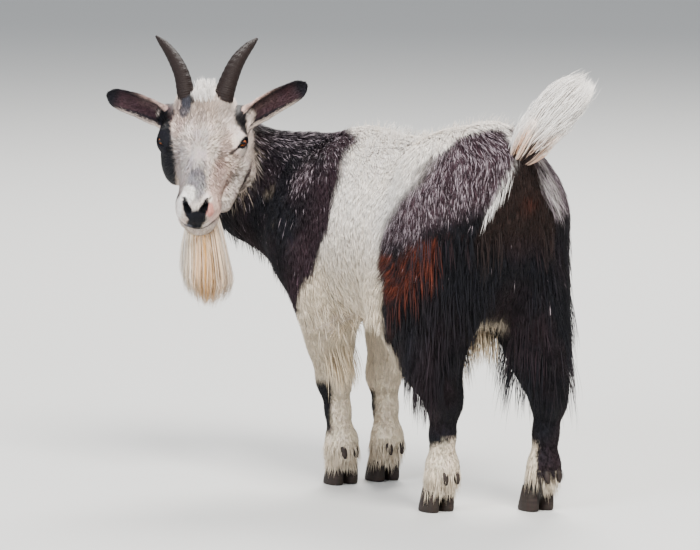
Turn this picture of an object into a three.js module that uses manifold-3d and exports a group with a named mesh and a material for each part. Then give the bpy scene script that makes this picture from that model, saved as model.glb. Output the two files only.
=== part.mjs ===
// A pygmy goat, standing with its head turned back over its left side and its tail raised.
// Millimetres, +Z up. The goat faces -Y and its left side is +X. Places are given from the middle of its
// four feet, and the whole is moved at the end so that the origin is on the ground below the middle
// of its box.
//
// The flesh is one blended field of cones and eggs laid over the bones, with the coat's depth on top.
// It is meshed part by part, each at its own fineness, and parted by plane cuts.
import * as THREE from "three";
import { edgeTable, triTable } from "three/addons/objects/MarchingCubes.js";
import { mergeVertices } from "three/addons/utils/BufferGeometryUtils.js";
import Module from "manifold-3d";

const wasm = await Module();
wasm.setup();

// ---------------------------------------------------------------- driving sizes
const gap = 0.4; // clearance between neighbouring solids
const feetMiddle = [-64.9, 46.9]; // where the middle of the four feet stands in the part's own frame
const headTurn = 140; // degrees the face is turned to the left from straight ahead
const headPitch = 43; // degrees the face slopes below level
const headRoll = -1; // degrees the poll leans to the goat's right
const eyeRadius = 12.5;
const eyeOut = 49; // from the middle of the head to the middle of an eye
const hornThickness = { left: 1, right: 0.88 }; // scales every section of a horn
const earLength = 138; // from the middle of the head to the tip of an ear
const clawHeight = 31; // at the front of a claw
const clawWidth = 21;

// ---------------------------------------------------------------- places on the body
const sides = { left: 1, right: -1 };
const vec = (x, y, z) => new THREE.Vector3(x, y, z);

// Each leg is posed on its own. Joints run from the body down to the foot.
const legs = {
  fore_left: {
    joints: [[66, -185, 345], [66, -148, 268], [48, -152, 150], [38, -150, 62], [34, -156, 28]],
    toe: [32, -162],
  },
  fore_right: {
    joints: [[-66, -185, 345], [-57, -149, 268], [-35, -150, 150], [-34, -142, 62], [-34, -149, 28]],
    toe: [-34, -155],
  },
  hind_left: {
    joints: [[66, 120, 395], [82, 60, 288], [62, 126, 152], [60, 119, 62], [60, 112, 28]],
    toe: [61, 106],
  },
  hind_right: {
    joints: [[-58, 132, 395], [-72, 129, 292], [-64, 193, 152], [-60, 188, 62], [-56, 182, 28]],
    toe: [-55, 176],
  },
};
// Half thickness of each leg at its joints, bare, and the coat's depth there.
const legThickness = {
  fore: { bare: [40, 31, 20, 16, 17], mid: [27, 14, 14.5], coat: [13, 9, 4, 4, 4] },
  hind: { bare: [48, 36, 19, 16, 17], mid: [26, 14, 14.5], coat: [16, 12, 4, 4, 4] },
};

// The head has a frame of its own: u runs down the face to the nose, w to the goat's left, and n up
// from the face.
const headPlace = (() => {
  const [turn, pitch, roll] = [headTurn, headPitch, headRoll].map((angle) => THREE.MathUtils.degToRad(angle));
  const facing = vec(Math.sin(turn), -Math.cos(turn), 0);
  const u = facing.clone().multiplyScalar(Math.cos(pitch)).add(vec(0, 0, -Math.sin(pitch)));
  const w = vec(0, 0, 1).cross(facing);
  const n = u.clone().cross(w);
  [u, w, n].forEach((axis) => axis.applyAxisAngle(facing, roll));
  const eyesMiddle = vec(172.5, -294, 470.5);
  return new THREE.Matrix4().makeBasis(u, w, n).setPosition(eyesMiddle);
})();
const headInverse = headPlace.clone().invert();
const onHead = (u, w, n) => vec(u, w, n).applyMatrix4(headPlace);
const headWay = (u, w, n) => onHead(u, w, n).sub(onHead(0, 0, 0)).normalize();

// ---------------------------------------------------------------- the field of the flesh
// A cone reaches from a to b with its own half thickness at each end; squash narrows it along one direction.
function cone(a, b, ra, rb, squash = 1, thin = [1, 0, 0]) {
  const from = vec(...a);
  const along = vec(...b).sub(from);
  const length2 = along.lengthSq();
  const thinWay = vec(...thin).normalize();
  const extra = 1 / squash ** 2 - 1;
  const q = vec(0, 0, 0);
  return (p) => {
    q.copy(p).sub(from);
    const t = Math.min(1, Math.max(0, q.dot(along) / length2));
    q.addScaledVector(along, -t);
    const across = q.dot(thinWay);
    return Math.sqrt(q.lengthSq() + across * across * extra) - (ra + (rb - ra) * t);
  };
}

// An egg is an ellipsoid, pitched by tilt degrees about the X axis.
function egg(centre, radii, tilt = 0) {
  const [cx, cy, cz] = centre;
  const [rx, ry, rz] = radii;
  const c = Math.cos(THREE.MathUtils.degToRad(tilt));
  const s = Math.sin(THREE.MathUtils.degToRad(tilt));
  return (p) => {
    const x = p.x - cx;
    const y = c * (p.y - cy) + s * (p.z - cz);
    const z = c * (p.z - cz) - s * (p.y - cy);
    const near = Math.hypot(x / rx, y / ry, z / rz);
    const slope = Math.hypot(x / rx ** 2, y / ry ** 2, z / rz ** 2);
    return slope < 1e-9 ? -Math.min(rx, ry, rz) : (near * (near - 1)) / slope;
  };
}

function blend(a, b, k) {
  const h = Math.max(0, k - Math.abs(a - b)) / k;
  return Math.min(a, b) - (h * h * k) / 4;
}

const bothSides = (make) => Object.values(sides).map(make);

// Each entry is [shape, blending distance, depth of the coat over it].
const trunkShapes = [
  [egg([0, -100, 358], [92, 130, 108]), 1, 15],
  [egg([0, 35, 347], [108, 155, 112]), 60, 15],
  [egg([0, 120, 420], [80, 74, 76], -4), 60, 15],
  [cone([0, -135, 440], [0, -50, 428], 38, 36), 50, 12],
  [cone([0, -50, 428], [0, 60, 446], 36, 40), 40, 12],
  [cone([0, 60, 446], [0, 150, 474], 40, 36), 40, 12],
  [cone([0, 150, 474], [0, 190, 470], 36, 26), 30, 10],
  [egg([0, -180, 326], [62, 56, 66], 15), 50, 18],
  ...bothSides((s) => [cone([s * 54, -130, 425], [s * 74, -182, 335], 32, 44, 0.8), 40, 14]),
  ...bothSides((s) => [cone([s * 54, 98, 455], [s * 34, 170, 430], 34, 34), 40, 14]),
];
const neckShapes = [
  [cone([0, -165, 376], [16, -246, 382], 86, 80, 0.76, [1, 0, 0]), 60, 16],
  [cone([16, -246, 382], [62, -310, 406], 80, 62, 0.78, [0.8, 0.6, 0]), 40, 16],
  [cone([62, -310, 406], [104, -338, 438], 62, 52, 0.82, [0.5, 0.8, 0]), 30, 12],
  [cone([104, -338, 438], [130, -336, 468], 52, 42, 0.85, [0, 1, 0]), 30, 8],
];
const legShapes = Object.entries(legs).flatMap(([name, leg]) => {
  const size = legThickness[name.split("_")[0]];
  const j = leg.joints;
  const side = Math.sign(j[0][0]);
  const middle = (a, b, t) => a.map((v, i) => v + (b[i] - v) * t);
  const gaskin = middle(j[1], j[2], 0.6);
  const cannon = middle(j[2], j[3], 0.5);
  const hind = name.startsWith("hind");
  const list = [
    [cone(j[0], j[1], size.bare[0], size.bare[1], 0.85), 40, size.coat[0]],
    [cone(j[1], gaskin, size.bare[1], size.mid[0] - size.coat[1] + 4), 26, size.coat[1]],
    [cone(gaskin, j[2], size.mid[0] - 2, size.bare[2] - 2), 14, 6],
    [egg([j[2][0], j[2][1] - (hind ? -4 : 2), j[2][2]], [20, 20, 25]), 10, size.coat[2]],
    [cone(j[2], cannon, size.mid[1] + 2, size.mid[1]), 12, size.coat[3]],
    [cone(cannon, j[3], size.mid[1], size.mid[1] + 1), 10, size.coat[3]],
    [egg([j[3][0], j[3][1] + 3, j[3][2]], [19, 19, 18]), 10, size.coat[3]],
    [cone(j[3], j[4], 17, 19, 0.9, [0, 1, 0]), 10, size.coat[4]],
  ];
  if (hind) {
    const hamstring = [side * 60, j[0][1] + 8, 385];
    const breeches = [side * 70, j[2][1] - 20, 262];
    list.push([cone(hamstring, middle(j[1], j[2], 0.5), 36, 22, 0.9), 50, 16]);
    list.push([cone([side * 58, j[0][1] + 23, 310], [j[2][0], j[2][1] - 6, 182], 28, 12), 30, 10]);
    list.push([cone(breeches, [side * 72, j[2][1] + 11, 176], 18, 8, 0.6), 14, 12]);
  } else {
    list.push([cone([j[1][0], j[1][1] + 16, 285], middle(j[1], j[2], 0.4), 30, 20), 24, 9]);
    list.push([cone([j[1][0], j[1][1] + 20, 240], [j[2][0], j[2][1] + 22, 160], 12, 3), 12, 9]);
  }
  return list;
});
const headShapes = [
  [egg([-40, 0, -2], [46, 50, 40]), 1, 4],
  [egg([-10, 0, 8], [42, 50, 22]), 20, 3],
  [egg([-62, 0, 20], [22, 22, 20]), 12, 5],
  [cone([0, 0, 0], [88, 0, -20], 36, 26, 0.9, [0, 1, 0]), 18, 3],
  [cone([5, 0, 13], [92, 0, -8], 13, 11), 12, 3],
  [egg([92, 0, -22], [20, 28, 24]), 12, 3],
  [cone([101, -10, -22], [101, 10, -22], 12, 12), 8, 3],
  [cone([96, -12, -42], [96, 12, -42], 14, 14), 10, 3],
  [cone([-20, 0, -46], [84, 0, -58], 31, 21, 0.84, [0, 1, 0]), 14, 4],
  [cone([88, -6, -64], [88, 6, -64], 13, 13), 8, 4],
  ...bothSides((s) => [egg([-8, s * 37, -26], [46, 21, 38]), 16, 4]),
  ...bothSides((s) => [egg([0, s * 50, 9], [22, 13, 16]), 12, 3]),
  ...bothSides((s) => [cone([-42, s * 38, 0], [-50, s * 52, 5], 16, 12), 14, 4]),
  ...bothSides((s) => [cone([-52, s * 20, 14], [-62, s * 25, 28], 15, 13), 12, 3]),
  [cone([10, 49, -34], [62, 31, -50], 14, 10), 12, 4], // the fuller cheek on the left, as it chews
];

// Signed distance to the top of the coat.
const bodyShapes = [...trunkShapes, ...neckShapes, ...legShapes];
function fleshAt(p) {
  let d = 1e9;
  for (const [shape, k, coat] of bodyShapes) {
    d = blend(d, shape(p) - coat, k);
  }
  let head = 1e9;
  const q = p.clone().applyMatrix4(headInverse);
  for (const [shape, k, coat] of headShapes) {
    head = blend(head, shape(q) - coat, k);
  }
  return blend(d, head, 24);
}

// ---------------------------------------------------------------- meshing
// Walks a grid over a box and joins the triangles where the field passes through zero.
function meshOf(field, low, high, cell) {
  const n = [0, 1, 2].map((i) => Math.ceil((high[i] - low[i]) / cell[i]) + 3);
  const place = (steps) => steps.map((step, i) => low[i] + (step - 1) * cell[i]);
  const index = (i, j, k) => i + n[0] * (j + n[1] * k);
  const values = new Float32Array(n[0] * n[1] * n[2]).fill(cell[0]);
  for (let k = 1; k < n[2] - 1; k++) {
    for (let j = 1; j < n[1] - 1; j++) {
      for (let i = 1; i < n[0] - 1; i++) {
        values[index(i, j, k)] = field(vec(...place([i, j, k])));
      }
    }
  }
  const corners = [[0, 0, 0], [1, 0, 0], [1, 1, 0], [0, 1, 0], [0, 0, 1], [1, 0, 1], [1, 1, 1], [0, 1, 1]];
  const ring = [[0, 1], [1, 2], [2, 3], [3, 0]];
  const edges = [...ring, ...ring.map(([a, b]) => [a + 4, b + 4]), [0, 4], [1, 5], [2, 6], [3, 7]];
  const points = [];
  const addTriangles = (i, j, k) => {
    const v = corners.map(([a, b, c]) => values[index(i + a, j + b, k + c)]);
    const shape = v.reduce((sum, value, bit) => sum | (value < 0 ? 1 << bit : 0), 0);
    if (!edgeTable[shape]) return;
    for (let t = shape * 16; triTable[t] !== -1; t += 3) {
      for (const e of [triTable[t], triTable[t + 2], triTable[t + 1]]) {
        const [inside, outside] = v[edges[e][0]] < v[edges[e][1]] ? edges[e] : [edges[e][1], edges[e][0]];
        const share = v[inside] / (v[inside] - v[outside]);
        const s = Math.min(0.96, Math.max(0.04, share));
        const step = corners[inside].map((c, axis) => c + (corners[outside][axis] - c) * s);
        points.push(...place([i + step[0], j + step[1], k + step[2]]));
      }
    }
  };
  for (let k = 0; k < n[2] - 1; k++) {
    for (let j = 0; j < n[1] - 1; j++) {
      for (let i = 0; i < n[0] - 1; i++) {
        addTriangles(i, j, k);
      }
    }
  }
  return new THREE.BufferGeometry().setAttribute("position", new THREE.Float32BufferAttribute(points, 3));
}

// Joins rings of points end to end and closes both ends.
function tubeOf(rings) {
  const count = rings[0].length;
  const points = rings.flat();
  const faces = [];
  for (let i = 0; i < rings.length - 1; i++) {
    for (let j = 0; j < count; j++) {
      const a = i * count + j;
      const b = i * count + ((j + 1) % count);
      faces.push(a, b, b + count, a, b + count, a + count);
    }
  }
  for (const [row, flip] of [[0, true], [rings.length - 1, false]]) {
    const middle = rings[row].reduce((sum, q) => sum.add(q), vec(0, 0, 0)).divideScalar(count);
    points.push(middle);
    for (let j = 0; j < count; j++) {
      const a = row * count + j;
      const b = row * count + ((j + 1) % count);
      faces.push(...(flip ? [b, a, points.length - 1] : [a, b, points.length - 1]));
    }
  }
  return new THREE.BufferGeometry().setFromPoints(points).setIndex(faces);
}

function solidOf(geometry, matrix = new THREE.Matrix4()) {
  const bare = geometry.clone().applyMatrix4(matrix);
  bare.deleteAttribute("normal");
  bare.deleteAttribute("uv");
  const merged = mergeVertices(bare, 1e-3);
  const mesh = new wasm.Mesh({
    numProp: 3,
    vertProperties: merged.attributes.position.array,
    triVerts: new Uint32Array(merged.index.array),
  });
  return new wasm.Manifold(mesh);
}

function geometryOf(solid) {
  const mesh = solid.getMesh();
  const positions = new Float32Array(mesh.numVert * 3);
  for (let i = 0; i < mesh.numVert; i++) {
    positions.set(mesh.vertProperties.subarray(i * mesh.numProp, i * mesh.numProp + 3), i * 3);
  }
  const geometry = new THREE.BufferGeometry();
  geometry.setAttribute("position", new THREE.BufferAttribute(positions, 3));
  geometry.setIndex(new THREE.BufferAttribute(mesh.triVerts, 1));
  return geometry;
}

// ---------------------------------------------------------------- finishes
const finish = (color, roughness) => new THREE.MeshStandardMaterial({ color, roughness, metalness: 0 });
const finishes = {
  whiteCoat: finish(0xe9e1d6, 0.9),
  blackCoat: finish(0x1b181c, 0.85),
  faceCoat: finish(0xd8c8b8, 0.9),
  beard: finish(0xe3c592, 0.85),
  horn: finish(0x3b312c, 0.55),
  eye: finish(0xc9772a, 0.15),
  hoof: finish(0x2b2521, 0.6),
};

const goat = new THREE.Group();
function add(name, geometry, material) {
  const mesh = new THREE.Mesh(geometry, material);
  mesh.name = name;
  goat.add(mesh);
}

// ---------------------------------------------------------------- eyes, horns, ears, beard, tail, claws
// Each of these sits in a socket: the same shape made again, larger by the gap.
function eyeball(side, extra) {
  const place = new THREE.Matrix4().makeTranslation(onHead(0, side * eyeOut, 6));
  return solidOf(new THREE.SphereGeometry(eyeRadius + extra, 10, 7), place);
}
// The opening between the lids, from the eyeball out through the coat.
function eyeOpening(side) {
  const outward = headWay(0.2, side * 0.85, 0.48);
  const turn = new THREE.Quaternion().setFromUnitVectors(vec(0, 1, 0), outward);
  const opening = new THREE.CylinderGeometry(10.5, 9.5, 30, 8).translate(0, 15, 0);
  return solidOf(opening, new THREE.Matrix4().compose(onHead(0, side * eyeOut, 6), turn, vec(1, 1, 1)));
}

// Rings round a line. ringAt gives the outline at each share of its length, as steps across and up.
function sweep(line, steps, upward, extra, ringAt) {
  const rings = [];
  for (let i = 0; i <= steps; i++) {
    const t = i / steps;
    const along = line.getTangentAt(t);
    const across = upward.clone().cross(along).normalize();
    const up = along.clone().cross(across);
    const centre = line.getPointAt(t);
    if (i === 0) centre.addScaledVector(along, -extra);
    if (i === steps) centre.addScaledVector(along, extra);
    rings.push(ringAt(t).map(([a, b]) => centre.clone().addScaledVector(across, a).addScaledVector(up, b)));
  }
  return solidOf(tubeOf(rings));
}
const oval = (count, half, deep) =>
  Array.from({ length: count }, (_, i) => {
    const angle = (i / count) * Math.PI * 2;
    return [Math.cos(angle) * half, Math.sin(angle) * deep];
  });
const between = (sizes, t) => {
  const at = t * (sizes.length - 1);
  const i = Math.min(sizes.length - 2, Math.floor(at));
  return sizes[i] + (sizes[i + 1] - sizes[i]) * (at - i);
};

// A horn leaves the head just behind the brow, rises, and sweeps back and out to a blunt tip.
function horn(side, extra) {
  const thickness = hornThickness[side > 0 ? "left" : "right"];
  const lean = side > 0 ? 2 : -2; // the right one spreads further
  const line = new THREE.CatmullRomCurve3([
    onHead(-50, side * 22, 16),
    onHead(-64, side * 27, 37),
    onHead(-88, side * 34, 48),
    onHead(-113, side * (44 - lean), 52),
    onHead(-138, side * (57 - 2 * lean), 51),
    onHead(-160, side * (71 - 3 * lean), 48),
  ]);
  return sweep(line, 10, headWay(0, 0, 1), extra, (t) => {
    const half = between([15.5, 15, 14, 13, 12, 10.8, 9, 6.6, 1.2], t) * thickness + extra;
    return oval(8, half, half * 0.86);
  });
}

// An ear is a leaf, rolled at its root and open towards the front. The left one is laid further back.
function ear(side, extra) {
  const back = side > 0 ? -14 : 0;
  const line = new THREE.CatmullRomCurve3([
    onHead(-40, side * 42, -2),
    onHead(-50 + back * 0.2, side * 62, 6),
    onHead(-61 + back * 0.9, side * 92, 12),
    onHead(-65 + back * 1.5, side * 119, 19),
    onHead(-69 + back * 2, side * earLength, 25),
  ]);
  const front = headWay(0.72, side * 0.2, 0.66);
  return sweep(line, 8, front, extra, (t) => {
    const half = between([9, 12, 14, 15.5, 15.5, 15, 13.5, 10, 4.5], t);
    const roll = THREE.MathUtils.degToRad(between([96, 98, 98, 90, 78, 66, 55, 45, 40], t));
    const radius = half / Math.sin(Math.min(roll, Math.PI / 2));
    const curl = roll + extra / radius;
    const thick = 2.4 + extra;
    const points = [];
    for (const [reach, way] of [[radius + thick, 1], [radius - thick, -1]]) {
      for (let i = 0; i <= 4; i++) {
        const angle = curl * way * (i / 2 - 1);
        points.push([Math.sin(angle) * reach, radius * 0.7 - Math.cos(angle) * reach]);
      }
    }
    return points;
  });
}

// The beard hangs down from the chin and the back of the jaw.
function beard(extra) {
  const top = onHead(72, 3, -60);
  const drops = [0, 30, 64, 98, 134];
  const aside = headWay(0, 1, 0).multiplyScalar(0.05); // it leans a little to the left
  const placeAt = (drop) => vec(top.x, top.y, top.z - drop).addScaledVector(aside, drop);
  const line = new THREE.CatmullRomCurve3(drops.map(placeAt));
  return sweep(line, 7, headWay(0, 1, 0), extra, (t) => {
    const half = between([21, 25, 29, 33, 36, 40, 42, 36, 14], t) + extra;
    const deep = between([16, 19, 20, 19, 17, 15, 12, 9, 4], t) + extra;
    return oval(10, deep, half);
  });
}

// The tail stands up from the croup; its plume leans back and to the right.
function tail(extra) {
  const line = new THREE.CatmullRomCurve3([
    vec(-2, 184, 460),
    vec(-3, 218, 494),
    vec(-10, 247, 528),
    vec(-24, 276, 562),
    vec(-44, 306, 598),
  ]);
  return sweep(line, 9, vec(1, 0.3, 0), extra, (t) => {
    const half = between([16, 21, 26, 29, 31, 32, 31, 26, 14], t) + extra;
    const deep = between([15, 19, 24, 28, 31, 34, 35, 29, 15], t) + extra;
    return oval(10, deep, half);
  });
}

// A box whose top lies on a plane, reaching away from the side that its normal points to.
function below(at, normal, lift, [width, depth] = [600, 600]) {
  const upward = vec(...normal).normalize();
  const turn = new THREE.Quaternion().setFromUnitVectors(vec(0, 0, 1), upward);
  const block = new THREE.BoxGeometry(width, depth, 600).translate(0, 0, lift - 300);
  return solidOf(block, new THREE.Matrix4().compose(vec(...at), turn, vec(1, 1, 1)));
}
// The coronet is where skin meets hoof. It drops a little towards the heel.
const coronet = (leg, lift) => below([leg.toe[0], leg.toe[1], clawHeight - 4], [0, 0.16, 1], lift);

// One claw of a cloven foot: a pointed footprint, raised and drawn in towards the coronet.
function claw(leg, side) {
  const footprint = new THREE.Shape();
  const halfWidth = clawWidth / 2;
  const tip = -25;
  const heel = 20;
  footprint.moveTo(-halfWidth, heel - 6);
  footprint.quadraticCurveTo(-halfWidth, heel, 0, heel);
  footprint.quadraticCurveTo(halfWidth, heel, halfWidth, heel - 6);
  footprint.bezierCurveTo(halfWidth, -8, halfWidth * 0.8, tip + 4, side * 3, tip);
  footprint.bezierCurveTo(-halfWidth * 0.8, tip + 4, -halfWidth, -8, -halfWidth, heel - 6);
  const block = new THREE.ExtrudeGeometry(footprint, {
    depth: clawHeight + 6,
    steps: 1,
    curveSegments: 3,
    bevelEnabled: false,
  });
  const at = block.attributes.position;
  for (let i = 0; i < at.count; i++) {
    const rise = at.getZ(i) / clawHeight;
    at.setXYZ(i, at.getX(i) * (1 - 0.1 * rise), at.getY(i) * (1 - 0.2 * rise) + 6 * rise, at.getZ(i));
  }
  const place = new THREE.Matrix4()
    .makeRotationZ(THREE.MathUtils.degToRad(-side * 3))
    .setPosition(leg.toe[0] + side * (halfWidth + 1), leg.toe[1], 0);
  return solidOf(block, place).intersect(coronet(leg, 0));
}

const fitted = []; // every solid that sits in the flesh, with its socket and finish
const fit = (name, solid, socket, coat) => fitted.push({ name, solid, socket, coat });
for (const [name, side] of Object.entries(sides)) {
  fit(`eye_${name}`, eyeball(side, 0), eyeball(side, gap).add(eyeOpening(side)), finishes.eye);
  fit(`horn_${name}`, horn(side, 0), horn(side, gap), finishes.horn);
  fit(`ear_${name}`, ear(side, 0), ear(side, 2 * gap), finishes.blackCoat);
}
fit("beard", beard(0), beard(gap), finishes.beard);
fit("tail", tail(0), tail(gap), finishes.whiteCoat);

// ---------------------------------------------------------------- parting the flesh
// Each cut is a plane. A limb is the flesh within its cut, and what it leaves has the same cut,
// wider by the gap.
const headCut = (lift) => below([124, -332, 454], [-0.75, -0.35, -0.55], lift);
const neckCut = (lift) => below([6, -216, 396], [-0.1, 0.89, -0.45], lift);
const legCuts = Object.fromEntries(
  Object.entries(legs).map(([name, leg]) => {
    const [, upper, knee, fetlock] = leg.joints;
    const side = Math.sign(knee[0]);
    const fore = name.startsWith("fore");
    const top = fore ? [upper[0] - side * 4, upper[1] + 6, 226] : [knee[0] + side * 8, knee[1] - 26, 226];
    const slope = fore ? [-side * 0.25, 0, 1] : [-side * 0.1, -0.42, 0.9];
    const shank = knee.map((v, i) => v + (fetlock[i] - v) * 0.3);
    const cuts = {
      leg: (lift) => below(top, slope, lift, [110, 400]),
      shank: (lift) => below(shank, [0, 0, 1], lift, [90, 130]),
    };
    return [name, cuts];
  }),
);

// Each part is meshed in a box of its own, kept within its cuts, and cleared for the parts it meets.
const around = (points, margin) => ({
  low: [0, 1, 2].map((i) => Math.min(...points.map((q) => q[i])) - margin[i]),
  high: [0, 1, 2].map((i) => Math.max(...points.map((q) => q[i])) + margin[i]),
});
const parts = [
  {
    name: "trunk",
    low: [-150, -280, 185],
    high: [150, 260, 550],
    cell: [27, 38, 27],
    away: [neckCut(gap), ...Object.values(legCuts).map((cuts) => cuts.leg(gap))],
    coat: "whiteCoat",
  },
  {
    name: "neck",
    low: [-110, -430, 255],
    high: [200, -160, 545],
    cell: [22, 22, 22],
    within: neckCut(0),
    away: [headCut(gap)],
    coat: "blackCoat",
  },
  {
    name: "head",
    low: [80, -400, 320],
    high: [280, -180, 580],
    cell: [12, 12, 12.5],
    within: headCut(0),
    away: [],
    coat: "faceCoat",
  },
];
for (const [name, leg] of Object.entries(legs)) {
  const [, upper, knee, fetlock, foot] = leg.joints;
  const cuts = legCuts[name];
  const fore = name.startsWith("fore");
  parts.push({
    name: `${name}_leg`,
    ...around([[upper[0], fore ? upper[1] : knee[1] - 30, fore ? 240 : 262], knee], [52, fore ? 50 : 70, 40]),
    cell: [15, 16, 20],
    within: cuts.leg(0),
    away: [cuts.shank(gap)],
    coat: fore ? "whiteCoat" : "blackCoat",
  });
  parts.push({
    name: `${name}_shank`,
    ...around([knee, fetlock, foot], [34, 40, 12]),
    cell: [11.5, 11.5, 21],
    within: cuts.shank(0),
    away: [coronet(leg, gap)],
    coat: "whiteCoat",
  });
}
const sockets = fitted.map((piece) => piece.socket);
for (const part of parts) {
  let flesh = solidOf(meshOf(fleshAt, part.low, part.high, part.cell));
  flesh = part.within ? flesh.intersect(part.within) : flesh;
  flesh = flesh.subtract(wasm.Manifold.union([...part.away, ...sockets]));
  const largest = flesh.decompose().sort((a, b) => b.volume() - a.volume())[0];
  add(part.name, geometryOf(largest), finishes[part.coat]);
}
for (const piece of fitted) {
  add(piece.name, geometryOf(piece.solid), piece.coat);
}
for (const [name, leg] of Object.entries(legs)) {
  const inward = -Math.sign(leg.toe[0]);
  add(`${name}_claw_inner`, geometryOf(claw(leg, inward)), finishes.hoof);
  add(`${name}_claw_outer`, geometryOf(claw(leg, -inward)), finishes.hoof);
}

goat.position.set(feetMiddle[0], feetMiddle[1], 0);
export default goat;
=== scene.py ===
# A pygmy goat, standing with its head turned back over its left side and its tail raised.
# The goat faces -Y and its left side is +X. Places on it are in millimetres from the middle of its four feet,
# and every mesh is moved and scaled to metres as it is made.
import bpy
import numpy as np
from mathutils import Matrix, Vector
from mathutils.kdtree import KDTree


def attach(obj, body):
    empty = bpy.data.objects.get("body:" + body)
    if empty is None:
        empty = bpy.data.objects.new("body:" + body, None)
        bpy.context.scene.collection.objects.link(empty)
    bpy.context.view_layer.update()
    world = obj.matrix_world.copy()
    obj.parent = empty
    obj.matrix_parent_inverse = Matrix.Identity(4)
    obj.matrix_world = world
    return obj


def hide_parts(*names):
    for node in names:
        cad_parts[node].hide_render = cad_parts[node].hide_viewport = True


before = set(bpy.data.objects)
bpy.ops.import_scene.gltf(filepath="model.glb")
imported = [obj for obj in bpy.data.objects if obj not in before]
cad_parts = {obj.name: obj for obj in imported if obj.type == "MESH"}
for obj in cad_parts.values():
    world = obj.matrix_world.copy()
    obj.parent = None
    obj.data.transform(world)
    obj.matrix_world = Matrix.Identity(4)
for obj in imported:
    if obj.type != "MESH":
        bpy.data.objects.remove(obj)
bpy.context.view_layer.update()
print("frame loaded")

feetMiddle = np.array([-64.9, 46.9, 0.0])
rng = np.random.default_rng(11)
bothSides = (1, -1)
# Each leg's joints from its top down to its foot, and the point between its claws.
legs = {
    "foreLeft": {"toe": (32, -162), "joints": [
        (66, -185, 345), (66, -148, 268), (48, -152, 150), (38, -150, 62), (34, -156, 28)]},
    "foreRight": {"toe": (-34, -155), "joints": [
        (-66, -185, 345), (-57, -149, 268), (-35, -150, 150), (-34, -142, 62), (-34, -149, 28)]},
    "hindLeft": {"toe": (61, 106), "joints": [
        (66, 120, 395), (82, 60, 288), (62, 126, 152), (60, 119, 62), (60, 112, 28)]},
    "hindRight": {"toe": (-55, 176), "joints": [
        (-58, 132, 395), (-72, 129, 292), (-64, 193, 152), (-60, 188, 62), (-56, 182, 28)]},
}
# Radii at the joints and between them, and the depth of the coat, all from the top down.
legThickness = {
    "fore": {"bare": (40, 31, 20, 16, 17), "mid": (27, 14, 14.5), "coat": (13, 9, 4, 4, 4)},
    "hind": {"bare": (48, 36, 19, 16, 17), "mid": (26, 14, 14.5), "coat": (16, 12, 4, 4, 4)},
}
# Degrees: how far the face turns from straight ahead, dips and leans.
head = {"turn": 140, "pitch": 43, "roll": -1, "eyesMiddle": (172.5, -294, 470.5)}


def unit(v):
    v = np.asarray(v, dtype=float)
    return v / np.maximum(np.linalg.norm(v, axis=-1, keepdims=True), 1e-9)


def between(a, b, t):
    return tuple(p + (q - p) * t for p, q in zip(a, b))


def turned(v, axis, angle):
    return v * np.cos(angle) + np.cross(axis, v) * np.sin(angle) + axis * (axis @ v) * (1 - np.cos(angle))


def headAxes():
    turn, pitch, roll = (np.radians(head[way]) for way in ("turn", "pitch", "roll"))
    facing = np.array([np.sin(turn), -np.cos(turn), 0.0])
    up = np.array([0.0, 0.0, 1.0])
    u = facing * np.cos(pitch) - up * np.sin(pitch)
    w = np.cross(up, facing)
    return np.array([turned(axis, facing, roll) for axis in (u, w, np.cross(u, w))])


# Rows: u down the face to the nose, w to the goat's left, n up from the face.
headWays = headAxes()
eyesMiddle = np.array(head["eyesMiddle"])


def onHead(*place):
    return eyesMiddle + np.asarray(place, dtype=float) @ headWays


def toHead(points):
    return (points - eyesMiddle) @ headWays.T


# Every shape is a function of points that gives their distance from its surface.
def cone(a, b, ra, rb, squash=1.0, thin=(1, 0, 0)):
    start = np.array(a, dtype=float)
    along = np.array(b, dtype=float) - start
    thinWay = unit(thin)
    extra = 1 / squash ** 2 - 1

    def distance(p):
        q = p - start
        t = np.clip(q @ along / (along @ along), 0, 1)
        q = q - t[:, None] * along
        return np.sqrt((q * q).sum(1) + (q @ thinWay) ** 2 * extra) - (ra + (rb - ra) * t)
    return distance


def egg(centre, radii, tilt=0.0):
    middle = np.array(centre, dtype=float)
    c, s = np.cos(np.radians(tilt)), np.sin(np.radians(tilt))
    turn = np.array([(1, 0, 0), (0, c, -s), (0, s, c)])
    size = np.array(radii, dtype=float)

    def distance(p):
        q = (p - middle) @ turn / size
        near = np.sqrt((q * q).sum(1))
        slope = np.sqrt(((q / size) ** 2).sum(1))
        return np.where(slope < 1e-9, -size.min(), near * (near - 1) / np.maximum(slope, 1e-9))
    return distance


def blend(a, b, k):
    h = np.maximum(0, k - np.abs(a - b)) / k
    return np.minimum(a, b) - h * h * k / 4


def carve(a, b, k):
    return -blend(-a, b, k)


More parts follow.
